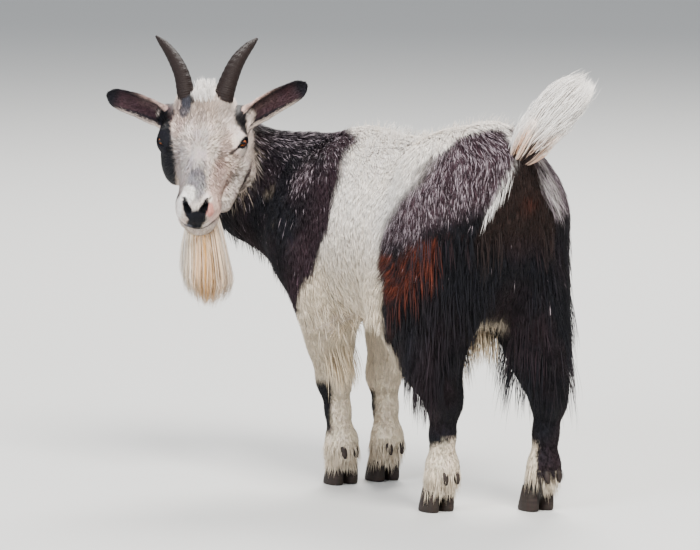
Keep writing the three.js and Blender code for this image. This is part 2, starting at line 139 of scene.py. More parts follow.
# Each entry: shape, blending distance, depth of the coat over it.
trunkShapes = [
    (egg((0, -100, 358), (92, 130, 108)), 1, 15),
    (egg((0, 35, 347), (108, 155, 112)), 60, 15),
    (egg((0, 120, 420), (80, 74, 76), -4), 60, 15),
    (cone((0, -135, 440), (0, -50, 428), 38, 36), 50, 12),
    (cone((0, -50, 428), (0, 60, 446), 36, 40), 40, 12),
    (cone((0, 60, 446), (0, 150, 474), 40, 36), 40, 12),
    (cone((0, 150, 474), (0, 190, 470), 36, 26), 30, 10),
    (egg((0, -180, 326), (62, 56, 66), 15), 50, 18),
]
trunkShapes += [(cone((s * 54, -130, 425), (s * 74, -182, 335), 32, 44, 0.8), 40, 14) for s in bothSides]
trunkShapes += [(cone((s * 54, 98, 455), (s * 34, 170, 430), 34, 34), 40, 14) for s in bothSides]
neckShapes = [
    (cone((0, -165, 376), (16, -246, 382), 86, 80, 0.76, (1, 0, 0)), 60, 16),
    (cone((16, -246, 382), (62, -310, 406), 80, 62, 0.78, (0.8, 0.6, 0)), 40, 16),
    (cone((62, -310, 406), (104, -338, 438), 62, 52, 0.82, (0.5, 0.8, 0)), 30, 12),
    (cone((104, -338, 438), (130, -336, 468), 52, 42, 0.85, (0, 1, 0)), 30, 8),
]


def legShapes(name):
    size = legThickness[name[:4]]
    bare, mid, coat = size["bare"], size["mid"], size["coat"]
    j = legs[name]["joints"]
    side = np.sign(j[0][0])
    hind = name.startswith("hind")
    gaskin = between(j[1], j[2], 0.6)
    cannon = between(j[2], j[3], 0.5)
    shapes = [
        (cone(j[0], j[1], bare[0], bare[1], 0.85), 40, coat[0]),
        (cone(j[1], gaskin, bare[1], mid[0] - coat[1] + 4), 26, coat[1]),
        (cone(gaskin, j[2], mid[0] - 2, bare[2] - 2), 14, 6),
        (egg((j[2][0], j[2][1] + (4 if hind else -2), j[2][2]), (20, 20, 25)), 10, coat[2]),
        (cone(j[2], cannon, mid[1] + 2, mid[1]), 12, coat[3]),
        (cone(cannon, j[3], mid[1], mid[1] + 1), 10, coat[3]),
        (egg((j[3][0], j[3][1] + 3, j[3][2]), (19, 19, 18)), 10, coat[3]),
        (cone(j[3], j[4], 17, 19, 0.9, (0, 1, 0)), 10, coat[4]),
    ]
    if hind:
        hamstring = (side * 60, j[0][1] + 8, 385)
        breeches = (side * 70, j[2][1] - 20, 262)
        shapes += [
            (cone(hamstring, between(j[1], j[2], 0.5), 36, 22, 0.9), 50, 16),
            (cone((side * 58, j[0][1] + 23, 310), (j[2][0], j[2][1] - 6, 182), 28, 12), 30, 10),
            (cone(breeches, (side * 72, j[2][1] + 11, 176), 18, 8, 0.6), 14, 12),
        ]
    else:
        shapes += [
            (cone((j[1][0], j[1][1] + 16, 285), between(j[1], j[2], 0.4), 30, 20), 24, 9),
            (cone((j[1][0], j[1][1] + 20, 240), (j[2][0], j[2][1] + 22, 160), 12, 3), 12, 9),
        ]
    return shapes


headShapes = [
    (egg((-40, 0, -2), (46, 50, 40)), 1, 4),
    (egg((-10, 0, 8), (42, 50, 22)), 20, 3),
    (egg((-62, 0, 20), (22, 22, 20)), 12, 5),
    (cone((0, 0, 0), (88, 0, -20), 36, 26, 0.9, (0, 1, 0)), 18, 3),
    (cone((5, 0, 13), (92, 0, -8), 13, 11), 12, 3),
    (egg((92, 0, -22), (20, 28, 24)), 12, 3),
    (cone((101, -10, -22), (101, 10, -22), 12, 12), 8, 3),
    (cone((96, -12, -42), (96, 12, -42), 14, 14), 10, 3),
    (cone((-20, 0, -46), (84, 0, -58), 31, 21, 0.84, (0, 1, 0)), 14, 4),
    (cone((88, -6, -64), (88, 6, -64), 13, 13), 8, 4),
]
headShapes += [(egg((-8, s * 37, -26), (46, 21, 38)), 16, 4) for s in bothSides]
headShapes += [(egg((-6, s * 48, 10), (16, 11, 14)), 12, 3) for s in bothSides]
headShapes += [
    (cone((18, 20, -14), (86, 13, -24), 17, 12), 14, 3),
    (cone((10, 49, -34), (62, 31, -50), 14, 10), 12, 4),  # the fuller cheek, as it chews
]
headShapes += [(cone((-42, s * 38, 0), (-50, s * 52, 5), 16, 12), 14, 4) for s in bothSides]
headShapes += [(cone((-52, s * 20, 14), (-62, s * 25, 28), 15, 13), 12, 3) for s in bothSides]
bodyShapes = trunkShapes + neckShapes + [shape for name in legs for shape in legShapes(name)]


def fieldOf(shapes, points, coatShare):
    total = np.full(len(points), 1e9)
    for shape, k, coat in shapes:
        total = blend(total, shape(points) - coat * coatShare, k)
    return total


# Ears: a curled sheet along a line, in the head's own frame
earLook = {"thick": (4.2, 3.0, 2.6, 2.2), "blend": 9, "samples": 56, "reach": 45,
           "half": (9, 12, 14, 15.5, 15.5, 15.2, 14.2, 12.5, 10),
           "roll": (96, 98, 98, 90, 78, 66, 55, 45, 40)}


def curve(points, count):
    # An even walk along a smooth line through the points.
    p = np.asarray(points, dtype=float)
    p = np.vstack([2 * p[0] - p[1], p, 2 * p[-1] - p[-2]])
    t = np.linspace(0, 1, 40, endpoint=False)[:, None]
    rows = []
    for a, b, c, d in zip(p[:-3], p[1:-2], p[2:-1], p[3:]):
        rows.append(0.5 * (2 * b + (c - a) * t + (2 * a - 5 * b + 4 * c - d) * t ** 2
                           + (3 * b - a - 3 * c + d) * t ** 3))
    rows = np.vstack(rows + [p[-2:-1]])
    gone = np.concatenate([[0], np.cumsum(np.linalg.norm(np.diff(rows, axis=0), axis=1))])
    even = np.linspace(0, gone[-1], count)
    return np.stack([np.interp(even, gone, rows[:, i]) for i in range(3)], axis=1)


def alongOf(line):
    return unit(np.gradient(line, axis=0))


def spread(values, count):
    return np.interp(np.linspace(0, 1, count), np.linspace(0, 1, len(values)), values)


def earShape(s):
    back = -14 if s > 0 else 0
    points = [(-40, s * 42, -2), (-50 + 0.2 * back, s * 62, 6), (-61 + 0.9 * back, s * 92, 12),
              (-65 + 1.5 * back, s * 119, 19), (-69 + 2 * back, s * 138, 25)]
    count = earLook["samples"]
    line = curve(points, count)
    along = alongOf(line)
    across = unit(np.cross(unit((0.72, s * 0.2, 0.66)), along))
    up = np.cross(along, across)
    half = spread(earLook["half"], count)
    half = half * np.sqrt(1 - 0.96 * np.clip(np.linspace(-6.1, 1, count), 0, 1) ** 2)
    roll = np.radians(spread(earLook["roll"], count))
    return {"line": line, "along": along, "across": across, "up": up, "half": half, "roll": roll,
            "radius": half / np.sin(np.minimum(roll, np.pi / 2)),
            "step": np.linalg.norm(line[1] - line[0]),
            "thick": spread(earLook["thick"], count)}


ears = {s: earShape(s) for s in bothSides}


def earPlace(ear, q):
    # Where points of the head lie on an ear: share of its length, across, up, and past its tip.
    near = np.full(len(q), 1e18)
    at = np.zeros(len(q), dtype=int)
    for i, place in enumerate(ear["line"]):
        far = ((q - place) ** 2).sum(1)
        closer = far < near
        near[closer] = far[closer]
        at[closer] = i
    last = len(ear["line"]) - 1
    off = ((q - ear["line"][at]) * ear["along"][at]).sum(1) / ear["step"]
    t = np.clip(at + off, 0, last)
    low = np.minimum(t.astype(int), last - 1)
    share = (t - low)[:, None]

    def mixed(name):
        values = ear[name]
        if values.ndim == 1:
            return values[low] * (1 - share[:, 0]) + values[low + 1] * share[:, 0]
        return values[low] * (1 - share) + values[low + 1] * share
    r = q - mixed("line")
    past = np.maximum(0, at + off - last) * ear["step"]
    return t / last, (r * mixed("across")).sum(1), (r * mixed("up")).sum(1), past, mixed


def earDistance(s, q):
    ear = ears[s]
    total = np.linalg.norm(q - ear["line"][len(ear["line"]) // 2], axis=1) - 50
    close = total < earLook["reach"]
    if close.any():
        t, x, y, past, mixed = earPlace(ear, q[close])
        radius, roll = mixed("radius"), mixed("roll")
        y = y - 0.7 * radius
        angle = np.abs(np.arctan2(x, -y))
        onArc = np.abs(np.hypot(x, y) - radius)
        toEdge = np.hypot(np.abs(x) - np.sin(roll) * radius, y + np.cos(roll) * radius)
        sheet = np.where(angle < roll, onArc, toEdge)
        total[close] = np.hypot(sheet, past) - mixed("thick") / 2
    return total


# The face: lids, nostrils, lips and folds, all in the head's own frame
eyeLook = {"centre": (0, 49, 6), "radius": 12.5, "gaze": (0.33, 0.80, 0.50), "lid": 2.3, "halfLong": 11.8,
           "upper": 4.3, "lower": 3.7, "tilt": -22, "clear": 0.35,
           "rows": 40, "columns": 56, "ballShare": 0.985, "bulge": 0.03}
mouthLook = {"level": -46, "rise": 12, "depth": 3.6, "width": 2.0, "corner": 66, "full": 76}


def mouthLevel(q):
    # The line between the lips rises from the middle to the sides, then runs back level.
    back = np.abs(q[:, 1]) + 0.5 * np.clip(116 - q[:, 0], 0, 40)
    return mouthLook["level"] + mouthLook["rise"] * ramp(back, 4, 28)


def mirrored(q, s):
    return q * np.array([1, s, 1])


def eyeFrame():
    gaze = unit(eyeLook["gaze"])
    forward = unit(np.array([1.0, 0, 0]) - gaze[0] * gaze)
    upward = np.cross(forward, gaze)
    upward = upward * np.sign(upward[2])
    c, s = np.cos(np.radians(eyeLook["tilt"])), np.sin(np.radians(eyeLook["tilt"]))
    return gaze, forward * c - upward * s, forward * s + upward * c


eyeWays = eyeFrame()


def eyePlace(q, s):
    # Steps from the middle of an eye: outward, towards the inner corner, and up across the lids.
    r = mirrored(q, s) - np.array(eyeLook["centre"])
    gaze, corner, upward = eyeWays
    return r @ gaze, r @ corner, r @ upward, np.linalg.norm(r, axis=1)


def ridge(distance, width):
    return np.exp(-(distance / width) ** 2)


def ramp(value, low, high):
    t = np.clip((value - low) / (high - low), 0, 1)
    return t * t * (3 - 2 * t)


def almond(corner, upward):
    long = np.clip(np.abs(corner) / eyeLook["halfLong"], 0, 1.4)
    room = np.where(upward > 0, eyeLook["upper"], eyeLook["lower"])
    return (np.abs(upward) / room + long ** 2 - 1) * 5


def offEye(total, r):
    # Keeps the skin just clear of the eyeball.
    return np.maximum(total, -(r - eyeLook["radius"] - eyeLook["clear"]))


def faceDistance(q, total):
    u, w, n = q.T
    front = ramp(u, 60, 78)
    # lips: a groove round the muzzle, the lower lip set back a little
    level = mouthLevel(q)
    groove = mouthLook["depth"] * ridge(n - level, mouthLook["width"])
    total = total + groove * ramp(u, mouthLook["corner"], mouthLook["full"])
    total = total + 1.3 * ridge(n - level + 7, 5) * front
    total = total - 1.1 * ridge(n - level - 5, 4) * front
    # the groove under the nose and the one along the bridge
    total = total + 1.2 * ridge(w, 1.6) * ramp(u, 98, 104) * ramp(n, -50, -44) * (1 - ramp(n, -22, -16))
    for s in bothSides:
        m = mirrored(q, s)
        # wings of the nose, then the holes
        wing = cone((97, 18, 1), (105, 15, -14), 3.2, 4.2)(m)
        total = blend(total, wing, 8)
        hole = cone((112, 10, -9), (106, 15.5, 1), 3.9, 3.3)(m)
        deep = cone((109, 12, -5), (90, 12, -8), 3.8, 2.6)(m)
        slit = cone((105, 16, 2), (97, 20.5, 2), 2.1, 1.4)(m)
        total = carve(total, blend(blend(hole, deep, 3), slit, 2), 2)
        # bony arch, tear hollow and cheek fold
        outward, corner, upward, r = eyePlace(q, s)
        arch = 1.2 * ridge(upward - 12, 4) * ridge(corner + 5, 11)
        total = total - arch * ramp(outward, 0, 8)
        hollow = 1.6 * ridge(upward + 9 + 0.12 * corner, 2.6) * ridge(corner - 6, 12)
        total = total + hollow * ramp(outward, 2, 10)
        tear = 1.2 * ridge(corner - 17, 5) * ridge(upward + 2, 3)
        total = total + tear * ramp(outward, -2, 6)
        fold = 0.9 * ridge(m[:, 2] + 36 - 0.5 * (m[:, 0] - 60), 2.5) * ridge(m[:, 0] - 66, 10)
        total = total + fold * (m[:, 1] > 8)
        # lids over the eyeball, with the opening between them
        lid = r - eyeLook["radius"] - eyeLook["lid"]
        crease = 0.9 * ridge(upward - eyeLook["upper"] - 3.6, 1.2)
        crease = crease + 0.6 * ridge(upward + eyeLook["lower"] + 3.2, 1.1)
        total = blend(total, lid + crease * ramp(outward, 4, 9), 7)
        opening = np.maximum(almond(corner, upward), 3 - outward)
        total = offEye(carve(total, opening, 1.6), r)
    return total


# The whole skin
skinLook = {"bodyCoat": 0.6, "headCoat": 0.55, "neckBlend": 24, "headReach": 230, "hoofLine": 27.5,
            "low": (-150, -424, 6), "high": (268, 262, 562), "cell": 8.5, "settle": 2, "longestMove": 1.2,
            "fine": 1.85, "fineLow": (18, -424, 376), "fineHigh": (266, -204, 562)}


def pasternGap(p):
    # The cleft between the claws, front and back, and the level where the hooves begin.
    total = np.zeros(len(p))
    cut = np.full(len(p), -1e9)
    for leg in legs.values():
        x, y = leg["toe"]
        near = np.hypot(p[:, 0] - x, p[:, 1] - y) < 45
        low = (1 - ramp(p[:, 2], 28, 52)) * near
        total += 2.6 * ridge(p[:, 0] - x, 3.4) * low * ridge(np.abs(p[:, 1] - y - 6) - 22, 14)
        level = skinLook["hoofLine"] - 0.16 * (p[:, 1] - y)
        cut = np.where(near, level - p[:, 2], cut)
    return total, cut


def headDistance(q, share):
    total = fieldOf(headShapes, q, share)
    for s in bothSides:
        total = blend(total, earDistance(s, q), earLook["blend"])
    return total


def skinDistance(p, bodySet=bodyShapes, plain=False):
    body = fieldOf(bodySet, p, skinLook["bodyCoat"])
    q = toHead(p)
    near = np.linalg.norm(q, axis=1) < skinLook["headReach"]
    total = body.copy()
    if near.any():
        face = headDistance(q[near], skinLook["headCoat"])
        if not plain:
            face = faceDistance(q[near], face)
        total[near] = blend(body[near], face, skinLook["neckBlend"])
        if not plain:
            # the neck's blend may not fill the eye
            for s in bothSides:
                total[near] = offEye(total[near], eyePlace(q[near], s)[3])
    if plain:
        return total
    low = p[:, 2] < 75
    if low.any():
        groove, cut = pasternGap(p[low])
        total[low] = np.maximum(total[low] + groove, cut)
    return total


def gridAxis(i):
    # Wide steps over the body and narrow ones over the head.
    low, high, cell, fine = skinLook["low"][i], skinLook["high"][i], skinLook["cell"], skinLook["fine"]
    a, b = skinLook["fineLow"][i], skinLook["fineHigh"][i]
    before = np.arange(a, low - cell, -cell)[::-1]
    inner = np.arange(a + fine, min(b, high + fine), fine)
    after = np.arange(inner[-1] + cell, high + cell, cell)
    return np.concatenate([before, inner, after])


def gridValues(field, axes, block=4, batch=150000):
    # Far from the surface one value stands for a whole block of the grid.
    sizes = [len(axis) for axis in axes]
    starts = [np.arange(0, size, block) for size in sizes]
    middles, halves = [], []
    for axis, start in zip(axes, starts):
        end = np.minimum(start + block - 1, len(axis) - 1)
        middles.append((axis[start] + axis[end]) / 2)
        halves.append((axis[end] - axis[start]) / 2)
    centre = np.stack(np.meshgrid(*middles, indexing="ij"), -1).reshape(-1, 3)
    reach = np.sqrt(sum(np.meshgrid(*[half ** 2 for half in halves], indexing="ij")))
    rough = field(centre).reshape(reach.shape)
    near = np.abs(rough) < reach * 1.6 + 6

    def widened(array):
        for i, size in enumerate(sizes):
            array = np.repeat(array, block, axis=i).take(np.arange(size), axis=i)
        return array
    values = widened(rough).astype(np.float32)
    places = np.nonzero(widened(near))
    points = np.stack([axis[at] for axis, at in zip(axes, places)], 1)
    values[places] = np.concatenate([field(points[i:i + batch]) for i in range(0, len(points), batch)])
    return values


def netOf(values, axes):
    # One point in every cell that the surface crosses, and a four-sided face on every edge it cuts.
    inside = values < 0
    corners = np.array(list(np.ndindex(2, 2, 2)))
    count = np.zeros([size - 1 for size in values.shape], dtype=np.int8)
    for a, b, c in corners:
        count += inside[a:a + count.shape[0], b:b + count.shape[1], c:c + count.shape[2]]
    active = (count > 0) & (count < 8)
    cells = np.argwhere(active)
    number = np.full(active.shape, -1, dtype=np.int64)
    number[active] = np.arange(len(cells))
    total = np.zeros((len(cells), 3))
    hits = np.zeros(len(cells))
    for i, a in enumerate(corners):
        for b in corners[i + 1:]:
            if np.abs(a - b).sum() != 1:
                continue
            ends = [cells + a, cells + b]
            v = [values[tuple(end.T)].astype(float) for end in ends]
            crossed = (v[0] < 0) != (v[1] < 0)
            t = np.where(crossed, v[0] / np.where(crossed, v[0] - v[1], 1), 0)[:, None]
            spots = [np.stack([axis[end[:, j]] for j, axis in enumerate(axes)], 1) for end in ends]
            total += (spots[0] + (spots[1] - spots[0]) * t) * crossed[:, None]
            hits += crossed
    points = total / hits[:, None]
    faces = []
    for i in range(3):
        j, k = (i + 1) % 3, (i + 2) % 3
        low = np.take(inside, np.arange(values.shape[i] - 1), axis=i)
        high = np.take(inside, np.arange(1, values.shape[i]), axis=i)
        at = np.argwhere(low != high)
        for way in (j, k):
            at = at[(at[:, way] > 0) & (at[:, way] < values.shape[way] - 1)]
        ring = []
        for dj, dk in ((0, 0), (1, 0), (1, 1), (0, 1)):
            cell = at.copy()
            cell[:, j] -= dj
            cell[:, k] -= dk
            ring.append(number[tuple(cell.T)])
        ring = np.stack(ring, 1)
        outward = low[tuple(at.T)]
        faces.append(np.where(outward[:, None], ring, ring[:, ::-1]))
    faces = np.vstack(faces)
    return points, faces[(faces >= 0).all(1)]


def slopeOf(field, p, step=0.4):
    here = field(p)
    slope = np.stack([field(p + np.eye(3)[i] * step) - here for i in range(3)], 1) / step
    return here, slope


def makeSkin():
    axes = [gridAxis(i) for i in range(3)]
    values = gridValues(skinDistance, axes)
    points, faces = netOf(values, axes)
    for _ in range(skinLook["settle"]):
        here, slope = slopeOf(skinDistance, points)
        steep = np.maximum((slope ** 2).sum(1), 0.25)
        move = -slope * (here / steep)[:, None]
        far = np.linalg.norm(move, axis=1, keepdims=True)
        points = points + move * np.minimum(1, skinLook["longestMove"] / np.maximum(far, 1e-9))
    return points, faces


def toMetres(points):
    return (points + feetMiddle) * 0.001


def startsOf(sizes):
    return np.concatenate([[0], np.cumsum(sizes)[:-1]])


def meshFrom(name, points, loops, starts):
    mesh = bpy.data.meshes.new(name)
    mesh.vertices.add(len(points))
    mesh.vertices.foreach_set("co", toMetres(points).astype(np.float32).ravel())
    mesh.loops.add(len(loops))
    mesh.loops.foreach_set("vertex_index", loops.astype(np.int32))
    mesh.polygons.add(len(starts))
    mesh.polygons.foreach_set("loop_start", starts.astype(np.int32))
    mesh.update(calc_edges=True)
    mesh.validate()
    mesh.polygons.foreach_set("use_smooth", np.ones(len(mesh.polygons), dtype=bool))
    piece = bpy.data.objects.new(name, mesh)
    bpy.context.scene.collection.objects.link(piece)
    return piece


def addColours(piece, name, colours):
    layer = piece.data.attributes.new(name, "FLOAT_COLOR", "POINT")
    full = np.ones((len(colours), 4), dtype=np.float32)
    full[:, :3] = colours
    layer.data.foreach_set("color", full.ravel())


# Markings: one set of rules for the skin and for every lock of hair
noiseTable = rng.uniform(-1, 1, 8191)
tints = {
    "white": (0.88, 0.84, 0.80), "cream": (0.70, 0.57, 0.40), "gold": (0.66, 0.34, 0.09),
    "black": (0.006, 0.006, 0.009), "brown": (0.040, 0.020, 0.024), "plum": (0.052, 0.028, 0.036),
    "grey": (0.24, 0.225, 0.25), "slate": (0.10, 0.10, 0.125), "rust": (0.135, 0.028, 0.014),
    # face is a pale tan, darkened in part as painted shade
    "blush": (0.76, 0.52, 0.45), "face": (0.64, 0.53, 0.46), "fawn": (0.46, 0.33, 0.26),
    "pink": (0.60, 0.22, 0.18), "bare": (0.022, 0.012, 0.010), "paleTip": (0.60, 0.50, 0.55),
    "peach": (0.86, 0.43, 0.20),
}
# Where the dark coat of the shoulder ends and that of the haunch begins, as (height, along the body).
shoulderEdge = [(225, -190), (258, -153), (281, -134), (311, -117), (337, -105), (368, -79), (407, -79),
                (439, -81), (456, -88), (471, -96), (482, -107), (492, -123)]
haunchEdge = [(205, 96), (220, 92), (232, 68), (278, 69), (299, 77), (350, 67), (383, 71), (407, 89),
              (442, 122), (464, 132), (501, 133), (514, 146), (523, 163)]
# Where the black of the haunch stops beside the spine, as (distance along the body, from the middle).
spineEdge = [(120, 96), (134, 78), (147, 44), (164, 20), (178, 6), (200, 5)]
# The lowest grizzled hair of the haunch, and the upper and lower edges of its rust patch, as (along, height).
grizzleEdge = [(71, 356), (119, 362), (173, 389), (194, 406), (210, 412), (219, 420)]
rustTop = [(74, 352), (119, 358), (172, 388)]
rustFoot = [(74, 300), (88, 292), (133, 308), (165, 350), (178, 384)]
# White lines beside the tail, as (height, distance from the middle plane).
tailLines = {1: [(386, 66), (400, 59), (426, 48), (452, 33), (472, 18), (496, 2)],
             -1: [(386, 60), (412, 48), (441, 30), (462, 22), (480, 18), (500, 18)]}
# Patches of the face: middle, radii, tint, strength.
facePatches = [
    ((34, 0, 26), (62, 12, 30), "grey", 0.5), ((80, 1, 10), (26, 14, 16), "slate", 0.72),
    ((-30, 0, 44), (36, 24, 26), "fawn", 0.30), ((-20, -34, 34), (34, 14, 22), "blush", 0.5),
    # The blush on the left of the face is partly painted warm light, and the grey down its right side is
    # painted shade
    ((60, 26, -10), (46, 18, 26), "blush", 0.75), ((56, -22, 4), (64, 18, 28), "grey", 0.6),
    ((30, 40, 10), (40, 16, 24), "blush", 0.35),
    ((-52, -23, 40), (18, 10, 17), "black", 0.98), ((-36, -25, 38), (17, 9, 14), "slate", 0.85),
    ((-40, 50, 18), (26, 9, 24), "black", 0.97), ((-18, 57, 16), (16, 7, 13), "black", 0.95),
    ((-38, -52, 16), (30, 13, 26), "brown", 0.98), ((-14, -58, 16), (20, 10, 17), "brown", 0.97),
    ((94, -12, 6), (15, 11, 10), "white", 0.95), ((100, -24, -14), (15, 9, 14), "white", 0.85),
    ((102, 25, -20), (17, 12, 22), "blush", 0.84), ((109, 19, -9), (9, 8, 13), "pink", 0.8),
    ((115, 1, -17), (12, 14, 12), "black", 1.0), ((116, -3, -30), (13, 12, 15), "black", 1.0),
    ((114, -13, -40), (9, 7, 7), "slate", 0.8),
    ((92, 0, -76), (26, 30, 14), "cream", 0.8), ((-66, 0, 44), (20, 20, 22), "white", 0.9),
]
# The inner edge of the dark stripe down the right of the face, and its outer one, along the face.
stripeEdge = {"along": (-60, -33, 5, 24, 43, 70, 92), "inner": (-50, -49, -40, -38, -33, -26, -23),
              "outer": (-10, -16, -26, -36, -48, -40, -22)}
cheekStripe = [(-35, 66, -12), (-15, 70, -22), (1, 71, -27), (13, 69, -29), (25, 64, -35), (34, 60, -42),
               (42, 55, -45)]


def noise(points, size, seed):
    # Smooth and without a pattern, between -1 and 1.
    q = points / size + 500
    cell = np.floor(q).astype(np.int64)
    f = q - cell
    f = f * f * (3 - 2 * f)
    total = np.zeros(len(points))
    for corner in np.ndindex(2, 2, 2):
        key = ((cell + corner) @ np.array([73856093, 19349663, 83492791]) + seed * 7919) % len(noiseTable)
        total += noiseTable[key] * np.prod(np.where(np.array(corner) == 1, f, 1 - f), axis=1)
    return total


def paint(colours, tint, share):
    colours += (np.array(tints[tint]) - colours) * np.clip(share, 0, 1)[:, None]


def farFrom(points, middle, radii):
    # 1 on the surface of an egg round the middle.
    return np.linalg.norm((points - np.array(middle)) / np.array(radii), axis=1)


def above(value, edge, width):
    # 0 below the edge and 1 above it, turning over the width.
    return ramp(value, edge - width / 2, edge + width / 2)


def aside(x, y, middle):
    # How far to the side of a leg's middle a place is, for an eye behind and to the left.
    return 0.82 * (x - middle[0]) - 0.57 * (y - middle[1])


def bodyMarkings(p):
    x, y, z = p.T
    side = np.abs(x)
    rough = noise(p, 34, 1) * 9 + noise(p, 13, 2) * 5
    yy = y + rough
    colours = np.tile(np.array(tints["white"]), (len(p), 1))
    # Cream lower down the body and legs: partly the coat's own cream, partly painted shade on the underside
    paint(colours, "cream", above(-z, -335, 120) * 0.7 + 0.05)
    paint(colours, "cream", (0.5 + 0.5 * noise(p, 60, 3)) * 0.25)
    # shoulder, neck and chest, down to the white forelegs
    foreEdge = np.interp(z + rough * 0.4, *zip(*shoulderEdge))
    foreEdge = foreEdge - 1.45 * np.maximum(0, 45 - side) * above(z, 440, 60)
    fore = above(-yy, -foreEdge, 12 + 10 * ramp(z, 380, 440)) * above(z + rough, 226, 14)
    # haunch, up to the white strip along the spine, with the hind legs down to their socks
    hindEdge = np.interp(z + rough * 0.4, *zip(*haunchEdge))
    offSpine = above(side + rough * 0.4, np.interp(y, *zip(*spineEdge)), 8) + above(-z, -470, 10)
    haunch = above(yy, hindEdge, 14 + 26 * ramp(z, 350, 400)) * np.clip(offSpine, 0, 1)
    under = above(24 - x, 0, 12) * above(x + 16, 0, 10) * above(-z, -262, 18) * above(-y, -166, 16)
    haunch = haunch * (1 - under)
    outer = aside(x, y, (-60, 188))
    sock = np.where(x > 0, 96 - 0.35 * aside(x, y, (60, 119)), np.where(outer > 9, 90, 48))
    haunch = haunch * above(z + rough * 0.8, sock, 9)
    black = np.maximum(fore, haunch)
    paint(colours, "black", black)
    # brown shades in the black, and where its hair has pale tips
    paint(colours, "brown", black * np.clip(0.2 + 0.8 * noise(p, 42, 4), 0, 1) * 0.6)
    grizzle = haunch * above(z + rough * 0.9, np.interp(y, *zip(*grizzleEdge)) + 4, 34)
    paint(colours, "plum", grizzle * 0.8)
    withers = above(z, 452, 44) * 0.26
    streaks = ridge(farFrom(p, (96, -166, 434), (30, 34, 22)), 0.9) * (x > 0)
    streaks = np.maximum(streaks, np.clip(noise(p, 40, 5) * 1.3 - 0.2, 0, 1) * above(z, 350, 60) * 0.4)
    grizzle = np.maximum(grizzle * 0.44, fore * np.maximum(withers, streaks * 0.55))
    nearEdge = above(yy, foreEdge - 46, 50) * 0.7
    paint(colours, "plum", fore * np.maximum(np.maximum(withers, streaks), nearEdge) * 0.8)
    grizzle = np.maximum(grizzle, black * above(z, 300, 60) * 0.008)
    # the rust patch on the flank, and the tinge of the fringe below it
    high, low = np.interp(y, *zip(*rustTop)), np.interp(y, *zip(*rustFoot))
    patch = above(high - z + rough * 0.5, 0, 10) * above(z - low + rough * 0.5, 0, 14) * above(y, 70, 8)
    rust = haunch * patch * (x > 70) * np.clip(0.42 + 1.2 * noise(p, 6, 6), 0, 1)
    tinge = haunch * above(100 - y, 0, 30) * above(300 - z, 0, 40) * (x > 80) * 0.2
    paint(colours, "rust", np.maximum(rust, tinge * np.clip(0.5 + noise(p, 9, 7), 0, 1)))
    grizzle = grizzle * (1 - 0.9 * rust)
    # dark patches on the fronts of the forelegs, and the inner stripe of the right hind leg
    left = above(aside(x, y, (46, -152)) + 0.3 * rough, 4, 6)
    left = left * above(z + 0.3 * rough, 74, 10) * above(-z, -150, 12) * (x > 0)
    right = above(aside(x, y, (-35, -150)), 11, 5) * above(z, 90, 10) * above(-z, -130, 10) * (x < 0)
    paint(colours, "black", (left + right) * (y < -90) * (z < 190))
    hindRight = (x < 0) * (y > 140) * (z < 110)
    paint(colours, "black", hindRight * above(outer, 1, 5) * above(-z, -46, 8) * 0.96)
    # the bare underside of the tail and what lies below it, between two lines of white
    leftLine, rightLine = (np.interp(z, *zip(*tailLines[s])) for s in bothSides)
    rear = above(y, 190, 14)
    dock = above(leftLine - x, 0, 8) * above(rightLine + x, 0, 8) * rear
    dock = dock * above(z, 372, 50) * above(-z, -500, 12)
    paint(colours, "bare", dock)
    paint(colours, "rust", ridge(farFrom(p, (-8, 226, 424), (15, 30, 13)), 0.9) * 0.25)
    grizzle = grizzle * (1 - dock)
    wisps = np.clip(0.3 + 1.7 * noise(p, 3.5, 8), 0, 1)
    left = ridge((x - leftLine - 1) / 3, 1) * above(z, 420, 40) * (0.4 + 0.6 * wisps)
    right = above(-x, rightLine, 8) * above(x, -rightLine - 30, 14) * above(z, 418, 40) * wisps * 0.8
    lines = np.maximum(left, right) * rear * above(-z, -512, 10)
    paint(colours, "white", lines * 0.9)
    grizzle = grizzle * (1 - lines)
    # the pale ruff behind the jaw
    q = toHead(p)
    ruff = ridge(farFrom(q, (-14, 48, -58), (56, 36, 40)) / 0.92, 1) ** 1.6
    ruff = np.clip(ruff * 1.7 + rough * 0.03 - 0.25, 0, 1)
    paint(colours, "cream", ruff * 0.9)
    return colours, grizzle * (1 - ruff)


